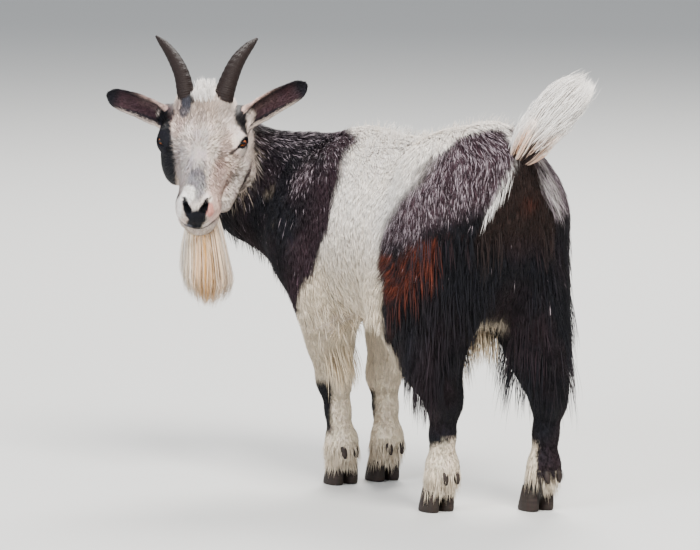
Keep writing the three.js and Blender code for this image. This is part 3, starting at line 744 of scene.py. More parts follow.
def faceMarkings(q):
    u, w, n = q.T
    rough = noise(q, 12, 11) * 0.16 + noise(q, 5, 12) * 0.10
    # The face's pale tan is darkened in part as painted shade
    colours = np.tile(np.array(tints["face"]), (len(q), 1))
    paint(colours, "white", 0.15 + 0.3 * noise(q, 30, 13))
    paint(colours, "grey", np.clip(noise(q, 9, 14), 0, 1) * 0.25)
    for middle, radii, tint, strength in facePatches:
        edge = 0.5 if strength < 0.85 else 0.26
        paint(colours, tint, strength * above(-farFrom(q, middle, radii) + rough, -1, edge))
    # a broad dark stripe from ear to muzzle on the right, a narrow one round the left cheek
    inner, outer = (np.interp(u, stripeEdge["along"], stripeEdge[name]) for name in ("inner", "outer"))
    stripe = above(inner - w + rough * 10, 0, 3) * above(n - outer, 0, 8)
    stripe = stripe * above(u, -48, 8) * above(-u, -91, 8)
    paint(colours, "black", stripe * (w < 0))
    near = np.full(len(q), 1e3)
    for a, b in zip(cheekStripe[:-1], cheekStripe[1:]):
        near = np.minimum(near, cone(a, b, 4.6, 4.6)(q))
    paint(colours, "brown", above(-near + rough * 7, 0, 2.5))
    # Black round the nostrils is the nose's own; inside them it is painted shade
    nostrils = np.minimum(*(cone((114, 9, -12), (103, 16.5, 4), 6.0, 4.2)(mirrored(q, s)) for s in bothSides))
    deep = np.minimum(*(cone((113, 11, -6), (88, 12, -8), 6.6, 6.0)(mirrored(q, s)) for s in bothSides))
    paint(colours, "black", above(-np.minimum(nostrils, deep) + rough * 3, 0, 2))
    for s in bothSides:
        # dark rims of the lids, drawn out towards the tear corner
        outward, corner, upward, r = eyePlace(q, s)
        lids = almond(corner, upward) / 5
        rim = above(-lids, -np.where(upward > 0, 0.95, 0.55), 0.4) * above(outward, 2, 4) * above(-r, -21, 4)
        tear = ridge(upward + 0.12 * (corner - 12), 2.0) * above(corner, 7, 4)
        tear = tear * above(-corner, -25, 6) * (r < 32)
        pouch = ridge((upward + 8) / 3, 1) * ridge((corner + 2) / 5, 1) * above(outward, 2, 4) * (r < 24)
        paint(colours, "black", np.maximum(rim * 1.3, np.maximum(tear, pouch * 0.8)))
    # Painted shade along the groove between the lips
    lips = ridge(n - mouthLevel(q), 3.2) * ramp(u, mouthLook["corner"], mouthLook["full"])
    paint(colours, "black", lips * 1.5)
    return colours


def earMarkings(q, s):
    # Dark inside and out, with pale hair along the upper edge near the root and a thin pale lower rim.
    t, x, y, _, mixed = earPlace(ears[s], q)
    outTo = np.abs(x) / mixed("half")
    high = above(x * s, 0.0, 5)
    colours = np.tile(np.array(tints["brown"]), (len(q), 1))
    paint(colours, "black", above(y, 0.0, 1.0) * 0.85)
    near = 1 - ramp(t, 0.35, 0.75)
    upper = high * (0.1 + 0.9 * above(outTo, 0.84, 0.16))
    paint(colours, "blush", upper * near * (0.6 + 0.4 * noise(q, 6, 31)))
    paint(colours, "face", (1 - high) * above(outTo, 0.93, 0.1) * above(-t, -0.8, 0.2) * 0.8)
    paint(colours, "black", above(t, 0.86, 0.14) * 0.95)
    return colours


def regionOf(p):
    # 0 body, 1 face, 2 left ear, 3 right ear
    q = toHead(p)
    body = fieldOf(bodyShapes, p, skinLook["bodyCoat"])
    face = fieldOf(headShapes, q, skinLook["headCoat"])
    left, right = earDistance(1, q), earDistance(-1, q)
    near = np.linalg.norm(q, axis=1) < 240
    region = np.where(near & (face < body), 1, 0)
    region = np.where(near & (left < np.minimum(face, body)), 2, region)
    region = np.where(near & (right < np.minimum(face, body)), 3, region)
    return region, ramp(body - face, -16, 8) * near


def markings(p):
    region, faceShare = regionOf(p)
    colours, grizzle = bodyMarkings(p)
    q = toHead(p)
    edgeOf = faceShare * (1 - faceShare) * 4
    faceShare = np.clip(faceShare + 0.15 * noise(p, 12, 15) * edgeOf, 0, 1)
    share = np.where(region >= 2, 1.0, faceShare)
    near = share > 0
    if near.any():
        mixed = faceMarkings(q[near])
        inner = region[near]
        for number, s in ((2, 1), (3, -1)):
            on = inner == number
            if on.any():
                mixed[on] = earMarkings(q[near][on], s)
        colours[near] += (mixed - colours[near]) * share[near][:, None]
        grizzle = grizzle * (1 - share)
    return np.clip(colours, 0.004, 1), grizzle, region


# The lie of the coat
# Where the hair points: (place, direction) on the left side, mirrored to the right.
lieGuides = [
    ((0, -150, 480), (0, 1, 0)), ((0, -40, 475), (0, 1, 0)), ((0, 60, 480), (0.05, 1, 0)),
    ((0, 140, 512), (0.1, 1, 0)), ((40, -100, 480), (0.5, 0.8, -0.3)), ((45, 20, 470), (0.5, 0.6, -0.5)),
    ((50, 120, 505), (0.6, 0.6, -0.5)), ((88, -120, 420), (0.1, 0.5, -0.9)), ((100, -150, 350), (0, 0.2, -1)),
    ((108, -60, 400), (0, 0.55, -0.8)), ((112, 0, 400), (0, 0.45, -0.9)), ((118, 60, 400), (0, 0.3, -0.95)),
    ((125, 30, 320), (0, 0.5, -0.85)), ((100, 100, 470), (0.2, 0.2, -1)), ((110, 150, 430), (0.1, 0.15, -1)),
    ((120, 110, 350), (0, -0.1, -1)), ((130, 80, 300), (0, -0.25, -1)), ((90, 190, 440), (0, 0.25, -1)),
    ((40, 215, 450), (0.3, 0.2, -1)), ((60, 212, 380), (0.1, 0, -1)), ((0, 214, 400), (0.2, 0, -1)),
    ((0, 0, 236), (0, 1, 0)), ((60, -60, 250), (0.1, 0.8, -0.4)), ((60, 40, 250), (0, 0.8, -0.3)),
    ((0, -240, 320), (0, 0.3, -1)), ((60, -235, 350), (0, 0.4, -1)), ((30, -300, 400), (-0.1, 0.5, -0.8)),
    ((70, -150, 250), (0, 0.1, -1)), ((50, -150, 150), (0, 0, -1)), ((38, -150, 60), (0, 0, -1)),
    ((80, 90, 230), (0, 0.2, -1)), ((62, 130, 150), (0, 0, -1)), ((60, 118, 60), (0, 0, -1)),
    ((60, 190, 200), (0, 0, -1)), ((128, 92, 338), (0, -0.8, -0.5)), ((120, 140, 352), (0, -0.5, -0.8)),
]
# The neck is turned to the left, so its guides aren't mirrored.
neckGuides = [
    ((104, -338, 438), (-0.45, 0.35, -0.75)), ((62, -310, 430), (-0.4, 0.6, -0.6)),
    ((10, -250, 440), (-0.1, 0.8, -0.5)), ((80, -280, 400), (-0.3, 0.3, -0.9)),
    ((130, -300, 420), (-0.4, 0.1, -0.9)), ((110, -370, 430), (-0.5, -0.1, -0.8)),
]
whorl = np.array([36.0, -2, 24])  # where the hair of the face parts, on the head's own frame


def guideTable():
    places, ways = [], []
    for place, way in lieGuides:
        for s in bothSides:
            places.append((place[0] * s, place[1], place[2]))
            ways.append((way[0] * s, way[1], way[2]))
    for place, way in neckGuides:
        places.append(place)
        ways.append(way)
    return np.array(places, dtype=float), unit(np.array(ways, dtype=float))


guidePlaces, guideWays = guideTable()


def lieOf(p, region):
    total = np.zeros_like(p)
    for place, way in zip(guidePlaces, guideWays):
        total += way * (1 / (((p - place) ** 2).sum(1) + 900) ** 2)[:, None]
    total = unit(total)
    q = toHead(p)
    face = region == 1
    if face.any():
        away = q[face] - whorl
        away[:, 2] -= 0.4 * np.abs(away[:, 2])
        away[:, 0] -= 12 * ramp(-q[face][:, 0], -20, 20)
        # round the eyes the hair turns back to the ears
        back = np.stack([-np.ones(face.sum()), 0.25 * np.sign(q[face][:, 1]), np.zeros(face.sum())], 1)
        aside = ramp(np.abs(q[face][:, 1]), 30, 52) * ramp(-q[face][:, 0], -50, -20)
        total[face] = unit(unit(away) * (1 - 0.7 * aside)[:, None] + back * (0.7 * aside)[:, None]) @ headWays
    for number, s in ((2, 1), (3, -1)):
        on = region == number
        if on.any():
            t, _, _, _, mixed = earPlace(ears[s], q[on])
            total[on] = unit(mixed("along")) @ headWays
    return total


def nearShapes(shapes, p, reach=70):
    # Shapes too far off to touch these places are left out.
    sample = p[rng.integers(0, len(p), 300)]
    return [shape for shape in shapes if (shape[0](sample) < reach).any()]


def faceOff(p, bodySet, headToo):
    body = fieldOf(bodySet, p, skinLook["bodyCoat"])
    if not headToo:
        return body
    return blend(body, headDistance(toHead(p), skinLook["headCoat"]), skinLook["neckBlend"])


def combed(roots, normals, ways, lengths, depths, share, wander):
    # Walks each hair over the skin as it rises to its depth: the middle of every ring, and the skin's normal.
    headToo = bool((np.linalg.norm(toHead(roots), axis=1) < 210).any())
    bodySet = nearShapes(bodyShapes, roots)
    p, way, normal = roots.copy(), ways, normals
    centres, ups = [roots - normals * lockLook["sunk"]], [normals]
    last = 0.0
    for t in share[1:]:
        way = unit(way - normal * (way * normal).sum(1)[:, None])
        p = p + way * (lengths * (t - last))[:, None]
        here, slope = slopeOf(lambda a: faceOff(a, bodySet, headToo), p, 1.5)
        steep = np.sqrt((slope ** 2).sum(1))
        normal = unit(slope)
        short = (depths * t ** 0.75 - here / np.maximum(steep, 0.4)) * 0.9
        p = p + normal * np.clip(short, -9, 9)[:, None]
        way = way + wander * (t - last)
        centres.append(p)
        ups.append(normal)
        last = t
    return np.stack(centres, 1), np.stack(ups, 1)


# Materials
def nodesOf(name):
    material = bpy.data.materials.new(name)
    material.use_nodes = True
    tree = material.node_tree
    return material, tree, tree.nodes["Principled BSDF"]


def addNode(tree, kind, **values):
    node = tree.nodes.new(kind)
    for name, value in values.items():
        if hasattr(node, name):
            setattr(node, name, value)
        else:
            node.inputs[name.replace("_", " ")].default_value = value
    return node


def put(tree, socket, value):
    if isinstance(value, bpy.types.NodeSocket):
        tree.links.new(value, socket)
    else:
        socket.default_value = value


def bumped(tree, shader, height, strength, distance):
    bump = addNode(tree, "ShaderNodeBump", Strength=strength, Distance=distance)
    put(tree, bump.inputs["Height"], height)
    put(tree, shader.inputs["Normal"], bump.outputs["Normal"])


def surface(tree, shader, colour, roughness, specular=0.5):
    put(tree, shader.inputs["Base Color"], colour)
    shader.inputs["Roughness"].default_value = roughness
    shader.inputs["Specular IOR Level"].default_value = specular


def scaled(tree, vector, scale):
    mapping = addNode(tree, "ShaderNodeMapping", Scale=scale)
    put(tree, mapping.inputs["Vector"], vector)
    return mapping.outputs["Vector"]


def stretchedNoise(tree, scale, size, detail):
    coordinates = addNode(tree, "ShaderNodeTexCoord")
    texture = addNode(tree, "ShaderNodeTexNoise", Scale=size, Detail=detail, Roughness=0.6)
    put(tree, texture.inputs["Vector"], scaled(tree, coordinates.outputs["Object"], scale))
    return texture


def mixColours(tree, factor, a, b, kind="MIX"):
    mix = addNode(tree, "ShaderNodeMix", data_type="RGBA", blend_type=kind)
    for place, value in ((0, factor), (6, a), (7, b)):
        put(tree, mix.inputs[place], value)
    return mix.outputs[2]


def remapped(tree, value, low, high, toLow=0.0, toHigh=1.0):
    node = addNode(tree, "ShaderNodeMapRange")
    ends = {"Value": value, "From Min": low, "From Max": high, "To Min": toLow, "To Max": toHigh}
    for name, end in ends.items():
        put(tree, node.inputs[name], end)
    return node.outputs["Result"]


def maths(tree, kind, a, b=0.0):
    node = addNode(tree, "ShaderNodeMath", operation=kind)
    for socket, value in zip(node.inputs, (a, b)):
        put(tree, socket, value)
    return node.outputs[0]


def attributeOf(tree, name):
    return addNode(tree, "ShaderNodeAttribute", attribute_name=name)


# Noise: how it is stretched, its scale and its detail. Shade: noise from and to, and the tone it gives.
furFinish = {"streaks": ((1, 1, 0.16), 900.0, 3.0), "shade": (0.3, 0.7, 0.82, 1.14), "roughness": 0.5,
             "specular": 0.2, "bump": (0.25, 0.0004)}
skinFinish = {"fine": ((1, 1, 0.22), 520.0, 8.0), "wide": ((1, 1, 0.5), 90.0, 4.0),
              "shade": (0.32, 0.68, 0.72, 1.06), "cloudy": 0.22, "roughness": 0.75, "specular": 0.12,
              "bump": (0.6, 0.0012)}
eyeFinish = {"dark": (0.36, 0.045, 0.004, 1), "light": (0.95, 0.25, 0.015, 1), "rim": (0.02, 0.012, 0.01, 1),
             "pupil": (0.002, 0.002, 0.003, 1), "irisEdge": (0.62, 0.80), "pupilEdge": (0.30, 0.36),
             "pupilShape": 2.3, "roughness": 0.12, "coat": 1.0, "coatRoughness": 0.03}
hornFinish = {"dark": (0.004, 0.003, 0.003, 1), "light": (0.026, 0.016, 0.014, 1),
              "ring": (0.013, 0.008, 0.007, 1), "rings": 5.5, "fibres": 34.0, "stretch": (0.25, 1, 1),
              "roughness": 0.55, "specular": 0.14, "bump": (0.5, 0.0008)}
hoofFinish = {"rings": ((0.25, 0.25, 2.0), 160.0, 6.0), "fibres": ((1, 1, 0.1), 420.0, 5.0),
              "dark": (0.006, 0.005, 0.005, 1), "light": (0.05, 0.036, 0.03, 1), "worn": 0.3,
              "roughness": 0.6, "specular": 0.15, "bump": (0.5, 0.0008)}


def makeFur():
    material, tree, shader = nodesOf("hair")
    tint = attributeOf(tree, "tint").outputs["Color"]
    streaks = stretchedNoise(tree, *furFinish["streaks"]).outputs["Fac"]
    colour = mixColours(tree, 1.0, tint, remapped(tree, streaks, *furFinish["shade"]), "MULTIPLY")
    surface(tree, shader, colour, furFinish["roughness"], furFinish["specular"])
    bumped(tree, shader, streaks, *furFinish["bump"])
    return material


def makeSkinMaterial():
    material, tree, shader = nodesOf("shortCoat")
    tint = attributeOf(tree, "markings").outputs["Color"]
    fine = stretchedNoise(tree, *skinFinish["fine"]).outputs["Fac"]
    wide = stretchedNoise(tree, *skinFinish["wide"]).outputs["Color"]
    colour = mixColours(tree, 1.0, tint, remapped(tree, fine, *skinFinish["shade"]), "MULTIPLY")
    cloudy = mixColours(tree, skinFinish["cloudy"], colour, wide, "SOFT_LIGHT")
    surface(tree, shader, cloudy, skinFinish["roughness"], skinFinish["specular"])
    bumped(tree, shader, fine, *skinFinish["bump"])
    return material


def makeEyeMaterial():
    # The iris is drawn from the eye's own steps: across the slit, up, and outward.
    material, tree, shader = nodesOf("eyeball")
    parts = addNode(tree, "ShaderNodeSeparateXYZ")
    put(tree, parts.inputs[0], attributeOf(tree, "eyePlace").outputs["Vector"])
    x, y = parts.outputs["X"], parts.outputs["Y"]
    squares = [maths(tree, "MULTIPLY", side, side) for side in (x, y)]
    radius = maths(tree, "SQRT", maths(tree, "ADD", *squares))
    tall = maths(tree, "MULTIPLY", maths(tree, "ABSOLUTE", y), eyeFinish["pupilShape"])
    slit = maths(tree, "MAXIMUM", maths(tree, "ABSOLUTE", x), tall)
    # rays of the iris: noise that turns with the angle and hardly changes outwards
    spin = addNode(tree, "ShaderNodeCombineXYZ")
    put(tree, spin.inputs[0], maths(tree, "MULTIPLY", maths(tree, "ARCTAN2", y, x), 3.0))
    put(tree, spin.inputs[1], maths(tree, "MULTIPLY", radius, 0.5))
    rays = addNode(tree, "ShaderNodeTexNoise", Scale=9.0, Detail=5.0)
    put(tree, rays.inputs["Vector"], spin.outputs[0])
    amber = mixColours(tree, rays.outputs["Fac"], eyeFinish["dark"], eyeFinish["light"])
    iris = mixColours(tree, remapped(tree, radius, *eyeFinish["irisEdge"]), amber, eyeFinish["rim"])
    whole = mixColours(tree, remapped(tree, slit, *eyeFinish["pupilEdge"]), eyeFinish["pupil"], iris)
    surface(tree, shader, whole, eyeFinish["roughness"])
    shader.inputs["Coat Weight"].default_value = eyeFinish["coat"]
    shader.inputs["Coat Roughness"].default_value = eyeFinish["coatRoughness"]
    return material


def makeHornMaterial():
    material, tree, shader = nodesOf("hornKeratin")
    place = attributeOf(tree, "hornPlace").outputs["Vector"]
    rings = addNode(tree, "ShaderNodeTexWave", wave_type="BANDS", bands_direction="X",
                    Scale=hornFinish["rings"], Distortion=2.4, Detail=3.0)
    put(tree, rings.inputs["Vector"], place)
    fibres = addNode(tree, "ShaderNodeTexNoise", Scale=hornFinish["fibres"], Detail=6.0)
    put(tree, fibres.inputs["Vector"], scaled(tree, place, hornFinish["stretch"]))
    rings, fibres = rings.outputs["Fac"], fibres.outputs["Fac"]
    dark = mixColours(tree, fibres, hornFinish["dark"], hornFinish["light"])
    banded = mixColours(tree, rings, dark, hornFinish["ring"])
    surface(tree, shader, banded, hornFinish["roughness"], hornFinish["specular"])
    bumped(tree, shader, maths(tree, "ADD", rings, fibres), *hornFinish["bump"])
    return material


def makeHoofMaterial():
    material, tree, shader = nodesOf("hoofKeratin")
    rings = stretchedNoise(tree, *hoofFinish["rings"]).outputs["Fac"]
    fibres = stretchedNoise(tree, *hoofFinish["fibres"]).outputs["Color"]
    dark = mixColours(tree, rings, hoofFinish["dark"], hoofFinish["light"])
    worn = mixColours(tree, hoofFinish["worn"], dark, fibres, "SOFT_LIGHT")
    surface(tree, shader, worn, hoofFinish["roughness"], hoofFinish["specular"])
    bumped(tree, shader, rings, *hoofFinish["bump"])
    return material


furMaterial = makeFur()
print("materials ready")


# Locks of hair: flat, tapered, three-sided and closed at both ends
# Taper: the width of each ring but the tip, for every number of rings.
lockLook = {"thick": 0.32, "sunk": 0.8, "patch": 0.003, "taper": {
    2: (1,), 3: (1, 0.72), 4: (0.9, 1, 0.6), 5: (0.85, 1, 0.85, 0.5), 6: (0.8, 1, 0.95, 0.75, 0.42)}}


def unwrapped(roots, tiles):
    # Each root's place on an unwrap round its own part, evened out so that no two patches meet.
    places = np.zeros((len(roots), 2))
    names = np.unique(tiles)
    for number, name in enumerate(names):
        on = np.nonzero(tiles == name)[0]
        q = roots[on] - roots[on].mean(0)
        axes = np.linalg.svd(q[::max(1, len(q) // 3000)], full_matrices=False)[2]
        along, a, b = (q @ axes.T).T
        angle = np.arctan2(b, a)
        columns = max(1, int(np.sqrt(len(on) / len(names))))
        rows = int(np.ceil(len(on) / columns))
        order = np.argsort(along, kind="stable")
        column = np.empty(len(on), dtype=int)
        column[order] = np.arange(len(on)) // rows
        order = np.lexsort((angle, column))
        row = np.empty(len(on))
        row[order] = np.arange(len(on)) % rows
        places[on, 0] = (number + (column + 0.5) / (column.max() + 1)) / len(names)
        places[on, 1] = (row + 0.5) / rows
    return places * 0.99 + 0.005


def makeLocks(name, hair):
    centres, ups = hair["centres"], hair["ups"]
    count, rings = centres.shape[:2]
    ways = unit(np.gradient(centres, axis=1))
    across = unit(np.cross(ways, ups))
    tops = unit(np.cross(across, ways))
    taper = np.array(lockLook["taper"][rings])
    width = hair["width"][:, None] * taper[None, :]
    body, side, top = centres[:, :-1], across[:, :-1], tops[:, :-1]
    half = side * width[..., None] / 2
    raised = top * (width * lockLook["thick"])[..., None]
    ring = np.stack([body - half, body + half, body + raised], 2)
    size = 3 * (rings - 1) + 1
    points = np.concatenate([ring.reshape(count, -1, 3), centres[:, -1:]], 1)
    edges = ((0, 2), (2, 1), (1, 0))
    last, tip = 3 * (rings - 2), size - 1
    quads = [(a + j, a + k, a + 3 + k, a + 3 + j) for a in range(0, last, 3) for j, k in edges]
    ends = [(0, 1, 2)] + [(last + j, last + k, tip) for j, k in edges]
    pattern = np.concatenate([np.ravel(quads), np.ravel(ends)]).astype(np.int64)
    sides = np.array([4] * len(quads) + [3] * len(ends))
    number = np.arange(count)[:, None]
    loops = (pattern[None, :] + number * size).ravel()
    starts = (startsOf(sides)[None, :] + number * len(pattern)).ravel()
    piece = meshFrom(name, points.reshape(-1, 3), loops, starts)
    t = np.repeat(np.arange(rings - 1), 3) / (rings - 1)
    t = np.append(t, 1.0)
    # Painted shade: each lock darkens towards its root, where the rest of the coat shades it
    light = np.clip(hair["colours"].mean(1), 0, 0.8)[:, None, None]
    dim = 0.62 + 0.33 * light  # roots are darker than tips, least so in white hair
    tone = dim + (1.1 - dim) * (t ** 0.7)[None, :, None]
    tips = hair.get("tips", np.zeros(count))[:, None] * ramp(t, -0.1, 0.5)[None, :]
    colours = hair["colours"][:, None, :] * tone
    colours = colours + (np.array(tints["paleTip"]) - colours) * tips[..., None]
    addColours(piece, "tint", np.clip(colours, 0, 1).reshape(-1, 3))
    # each lock's small patch of the bake map
    steps = np.zeros((size, 2))
    steps[:-1, 0] = np.tile((-0.5, 0.5, 0.0), rings - 1)
    steps[:, 1] = t - 0.5
    steps[2:-1:3, 1] += 0.12
    places = hair["places"][:, None, :] + steps[None] * lockLook["patch"]
    layer = piece.data.uv_layers.new(name="OFBake")
    layer.data.foreach_set("uv", places[:, pattern].astype(np.float32).ravel())
    piece.data.materials.append(furMaterial)
    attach(piece, "root")
    triangles = count * (6 * (rings - 2) + 4)
    print(name, count, "locks", triangles, "triangles")
    return piece


# The skin as something to grow hair from
skinPoints, skinFaces = makeSkin()
skinColours, _, skinRegion = markings(skinPoints)
skinNormals = unit(slopeOf(skinDistance, skinPoints)[1])
corners = np.vstack([skinFaces[:, [0, 1, 2]], skinFaces[:, [0, 2, 3]]])
edgeA = skinPoints[corners[:, 1]] - skinPoints[corners[:, 0]]
edgeB = skinPoints[corners[:, 2]] - skinPoints[corners[:, 0]]
areas = np.linalg.norm(np.cross(edgeA, edgeB), axis=1) / 2
spots = skinPoints[corners].mean(1)
spotRegion = skinRegion[corners[:, 0]]
spotHead = toHead(spots)
spotNormal = unit(np.cross(edgeA, edgeB))
print("skin", len(skinPoints), "points", len(corners), "triangles")


def bareSpots():
    # No hair grows in the eyes, nostrils and mouth, under the horns, or where a hoof begins.
    bare = np.zeros(len(spots), dtype=bool)
    q = spotHead
    near = np.linalg.norm(q, axis=1) < 200
    for s in bothSides:
        outward, corner, upward, r = eyePlace(q, s)
        bare |= (r < eyeLook["radius"] + 1.3) | ((almond(corner, upward) < 0.8) & (outward > 6) & (r < 20))
        m = mirrored(q, s)
        bare |= near & (cone((112, 8, -8), (105, 15, 3), 4.6, 4.0)(m) < 0)
        bare |= near & (cone((-50, 22, 16), (-66, 27, 38), 16.0, 15.5)(m) < 0)
    bare |= near & (np.abs(q[:, 2] - mouthLevel(q) - 1.2) < 4) & (q[:, 0] > mouthLook["corner"] + 4)
    bare |= near & (farFrom(q, (115, -1, -20), (9, 12, 16)) < 1)
    bare |= spots[:, 2] < skinLook["hoofLine"]
    return bare


growing = areas * ~bareSpots()


def rootsOn(mask, count):
    # Roots spread evenly over the chosen skin.
    chance = growing * mask
    chosen = rng.choice(len(chance), count, p=chance / chance.sum())
    a, b = rng.random((2, count))
    over = a + b > 1
    a, b = np.where(over, 1 - a, a), np.where(over, 1 - b, b)
    shares = np.stack([1 - a - b, a, b], 1)
    ids = corners[chosen]
    roots = (skinPoints[ids] * shares[..., None]).sum(1)
    normals = unit((skinNormals[ids] * shares[..., None]).sum(1))
    return roots, normals, spotRegion[chosen]


def clumped(centres, size, pull):
    # Tips lean towards those of a leading hair nearby, so that the coat falls in locks.
    roots = centres[:, 0]
    count = max(8, int(len(roots) / size))
    leaders = rng.choice(len(roots), count, replace=False)
    tree = KDTree(count)
    for i, lead in enumerate(leaders):
        tree.insert(Vector(roots[lead]), i)
    tree.balance()
    nearest = np.array([tree.find(Vector(root))[1] for root in roots])
    lead = centres[leaders[nearest]]
    t = np.linspace(0, 1, centres.shape[1])[None, :, None]
    close = np.exp(-np.linalg.norm(lead[:, :1] - centres[:, :1], axis=2, keepdims=True) / 18)
    return centres + (lead - centres) * pull * t ** 1.4 * close, nearest


def shaded(colours, nearest, spreadOf=0.22):
    # Every hair differs a little, and so does every lock, the dark ones most.
    dark = 1 - np.clip(colours.mean(1, keepdims=True), 0, 0.8)
    each = 1 + spreadOf * dark * rng.standard_normal((len(colours), 1))
    lock = 1 + 0.16 * dark * rng.standard_normal((nearest.max() + 1, 1))[nearest]
    return np.clip(colours * each * lock, 0.002, 0.95)


def coat(name, mask, count, look, tiles=None):
    roots, normals, region = rootsOn(mask, count)
    ways = lieOf(roots, region)
    swirl = np.stack([noise(roots, 48, 20 + i) for i in range(3)], 1) * look.get("swirl", 0.25)
    ways = ways + swirl + rng.standard_normal(roots.shape) * look.get("stray", 0.12)
    length = look["length"](roots) * rng.uniform(0.7, 1.2, count)
    depth = look["depth"](roots) * rng.uniform(0.25, 1.05, count) ** 0.8
    share = np.linspace(0, 1, look["rings"]) ** 0.85
    wander = rng.standard_normal(roots.shape) * look.get("wander", 0.35)
    centres, ups = combed(roots, normals, ways, length, depth, share, wander)
    centres, nearest = clumped(centres, look["clump"], look["pull"])
    middle = centres[:, 0] * 0.45 + centres[:, -1] * 0.55 - ups[:, -1] * 2
    colours, grizzle, _ = markings(middle + rng.standard_normal(roots.shape) * look.get("blur", 1.2))
    tips = (rng.random(count) < grizzle) * rng.uniform(0.35, 1, count)
    fleck = (rng.random(count) < look.get("fleck", 0)) * (region == 1) * (colours.mean(1) > 0.3)
    paint(colours, "fawn", fleck * rng.uniform(0.1, 0.75, count))
    tile = np.zeros(count, dtype=int) if tiles is None else tiles(roots)
    hair = {"centres": centres, "ups": ups, "colours": shaded(colours, nearest), "tips": tips,
            "width": look["width"](roots) * rng.uniform(0.75, 1.25, count) * np.where(tips > 0, 0.52, 1),
            "places": unwrapped(roots, tile)}
    makeLocks(name, hair)


def makeSkinPiece():
    piece = meshFrom("skin", skinPoints, skinFaces.ravel(), np.arange(len(skinFaces)) * 4)
    addColours(piece, "markings", skinColours)
    piece.data.materials.append(makeSkinMaterial())
    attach(piece, "root")
    flesh = ["trunk", "neck", "head", "ear_left", "ear_right"]
    for end in ("fore", "hind"):
        for side in ("left", "right"):
            flesh += [f"{end}_{side}_leg", f"{end}_{side}_shank"]
    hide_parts(*flesh)


makeSkinPiece()


# Closed shapes from rings of points, for horns and hooves
def closedRings(rings, ends=None):
    # Four-sided faces from ring to ring, and a fan over each end.
    count = len(rings[0])
    first, last = ends or (rings[0].mean(0), rings[-1].mean(0))
    points = np.vstack(rings + [first[None], last[None]])
    faces = []
    for i in range(len(rings) - 1):
        for j in range(count):
            a, b = i * count + j, i * count + (j + 1) % count
            faces.append((a, b, b + count, a + count))
    top, end = (len(rings) - 1) * count, len(points) - 1
    for j in range(count):
        k = (j + 1) % count
        faces.append((k, j, end - 1))
        faces.append((top + j, top + k, end))
    return points, faces


def tube(line, upward, ringOf, count):
    along = alongOf(line)
    across = unit(np.cross(np.asarray(upward, dtype=float), along))
    up = np.cross(along, across)
    angles = np.linspace(0, 2 * np.pi, count, endpoint=False)
    rings = []
    for i, centre in enumerate(line):
        a, b = ringOf(i / (len(line) - 1), angles)
        rings.append(centre + np.outer(a, across[i]) + np.outer(b, up[i]))
    return closedRings(rings, (line[0], line[-1]))


def pieceFrom(name, points, faces):
    loops = np.array([corner for face in faces for corner in face])
    return meshFrom(name, points, loops, startsOf([len(face) for face in faces]))


def addVectors(piece, name, vectors):
    layer = piece.data.attributes.new(name, "FLOAT_VECTOR", "POINT")
    layer.data.foreach_set("vector", np.asarray(vectors, dtype=np.float32).ravel())


hornLook = {"half": (15.5, 15, 14, 13, 12, 10.8, 9, 6.8, 2.4), "oval": 0.86, "lean": {1: 2, -1: -2},
            "around": 36, "steps": 90, "ridges": 15, "ridgeHeight": 0.42, "thickness": {1: 1.0, -1: 0.88}}


def makeHorns(material):
    for s, side in ((1, "left"), (-1, "right")):
        lean = hornLook["lean"][s]
        line = curve([(-50, s * 22, 16), (-64, s * 27, 37), (-88, s * 34, 48), (-113, s * (44 - lean), 52),
                      (-138, s * (57 - 2 * lean), 51), (-160, s * (71 - 3 * lean), 48)], hornLook["steps"])
        half = hornLook["half"]

        def ringOf(t, angle):
            size = np.interp(t, np.linspace(0, 1, len(half)), half) * hornLook["thickness"][s]
            wave = np.sin(2 * np.pi * hornLook["ridges"] * t ** 0.8) * hornLook["ridgeHeight"]
            size = size + wave * (1 - t) ** 0.5 * (0.6 + 0.4 * np.sin(angle)) - 0.3
            keel = 1 + 0.05 * np.cos(angle - np.pi / 2) ** 4
            return np.cos(angle) * size, np.sin(angle) * size * hornLook["oval"] * keel
        points, faces = tube(line, (0, 0, 1), ringOf, hornLook["around"])
        t = np.repeat(np.linspace(0, 1, len(line)), hornLook["around"])
        angle = np.tile(np.linspace(0, 2 * np.pi, hornLook["around"], endpoint=False), len(line))
        place = np.stack([t * 3, np.cos(angle) * 0.4, np.sin(angle) * 0.4], 1)
        place = np.vstack([place, (0, 0, 0), (3, 0, 0)])
        piece = pieceFrom(f"horn{side.capitalize()}", eyesMiddle + points @ headWays, faces)
        addVectors(piece, "hornPlace", place)
        piece.data.materials.append(material)
        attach(piece, "root")
        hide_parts(f"horn_{side}")


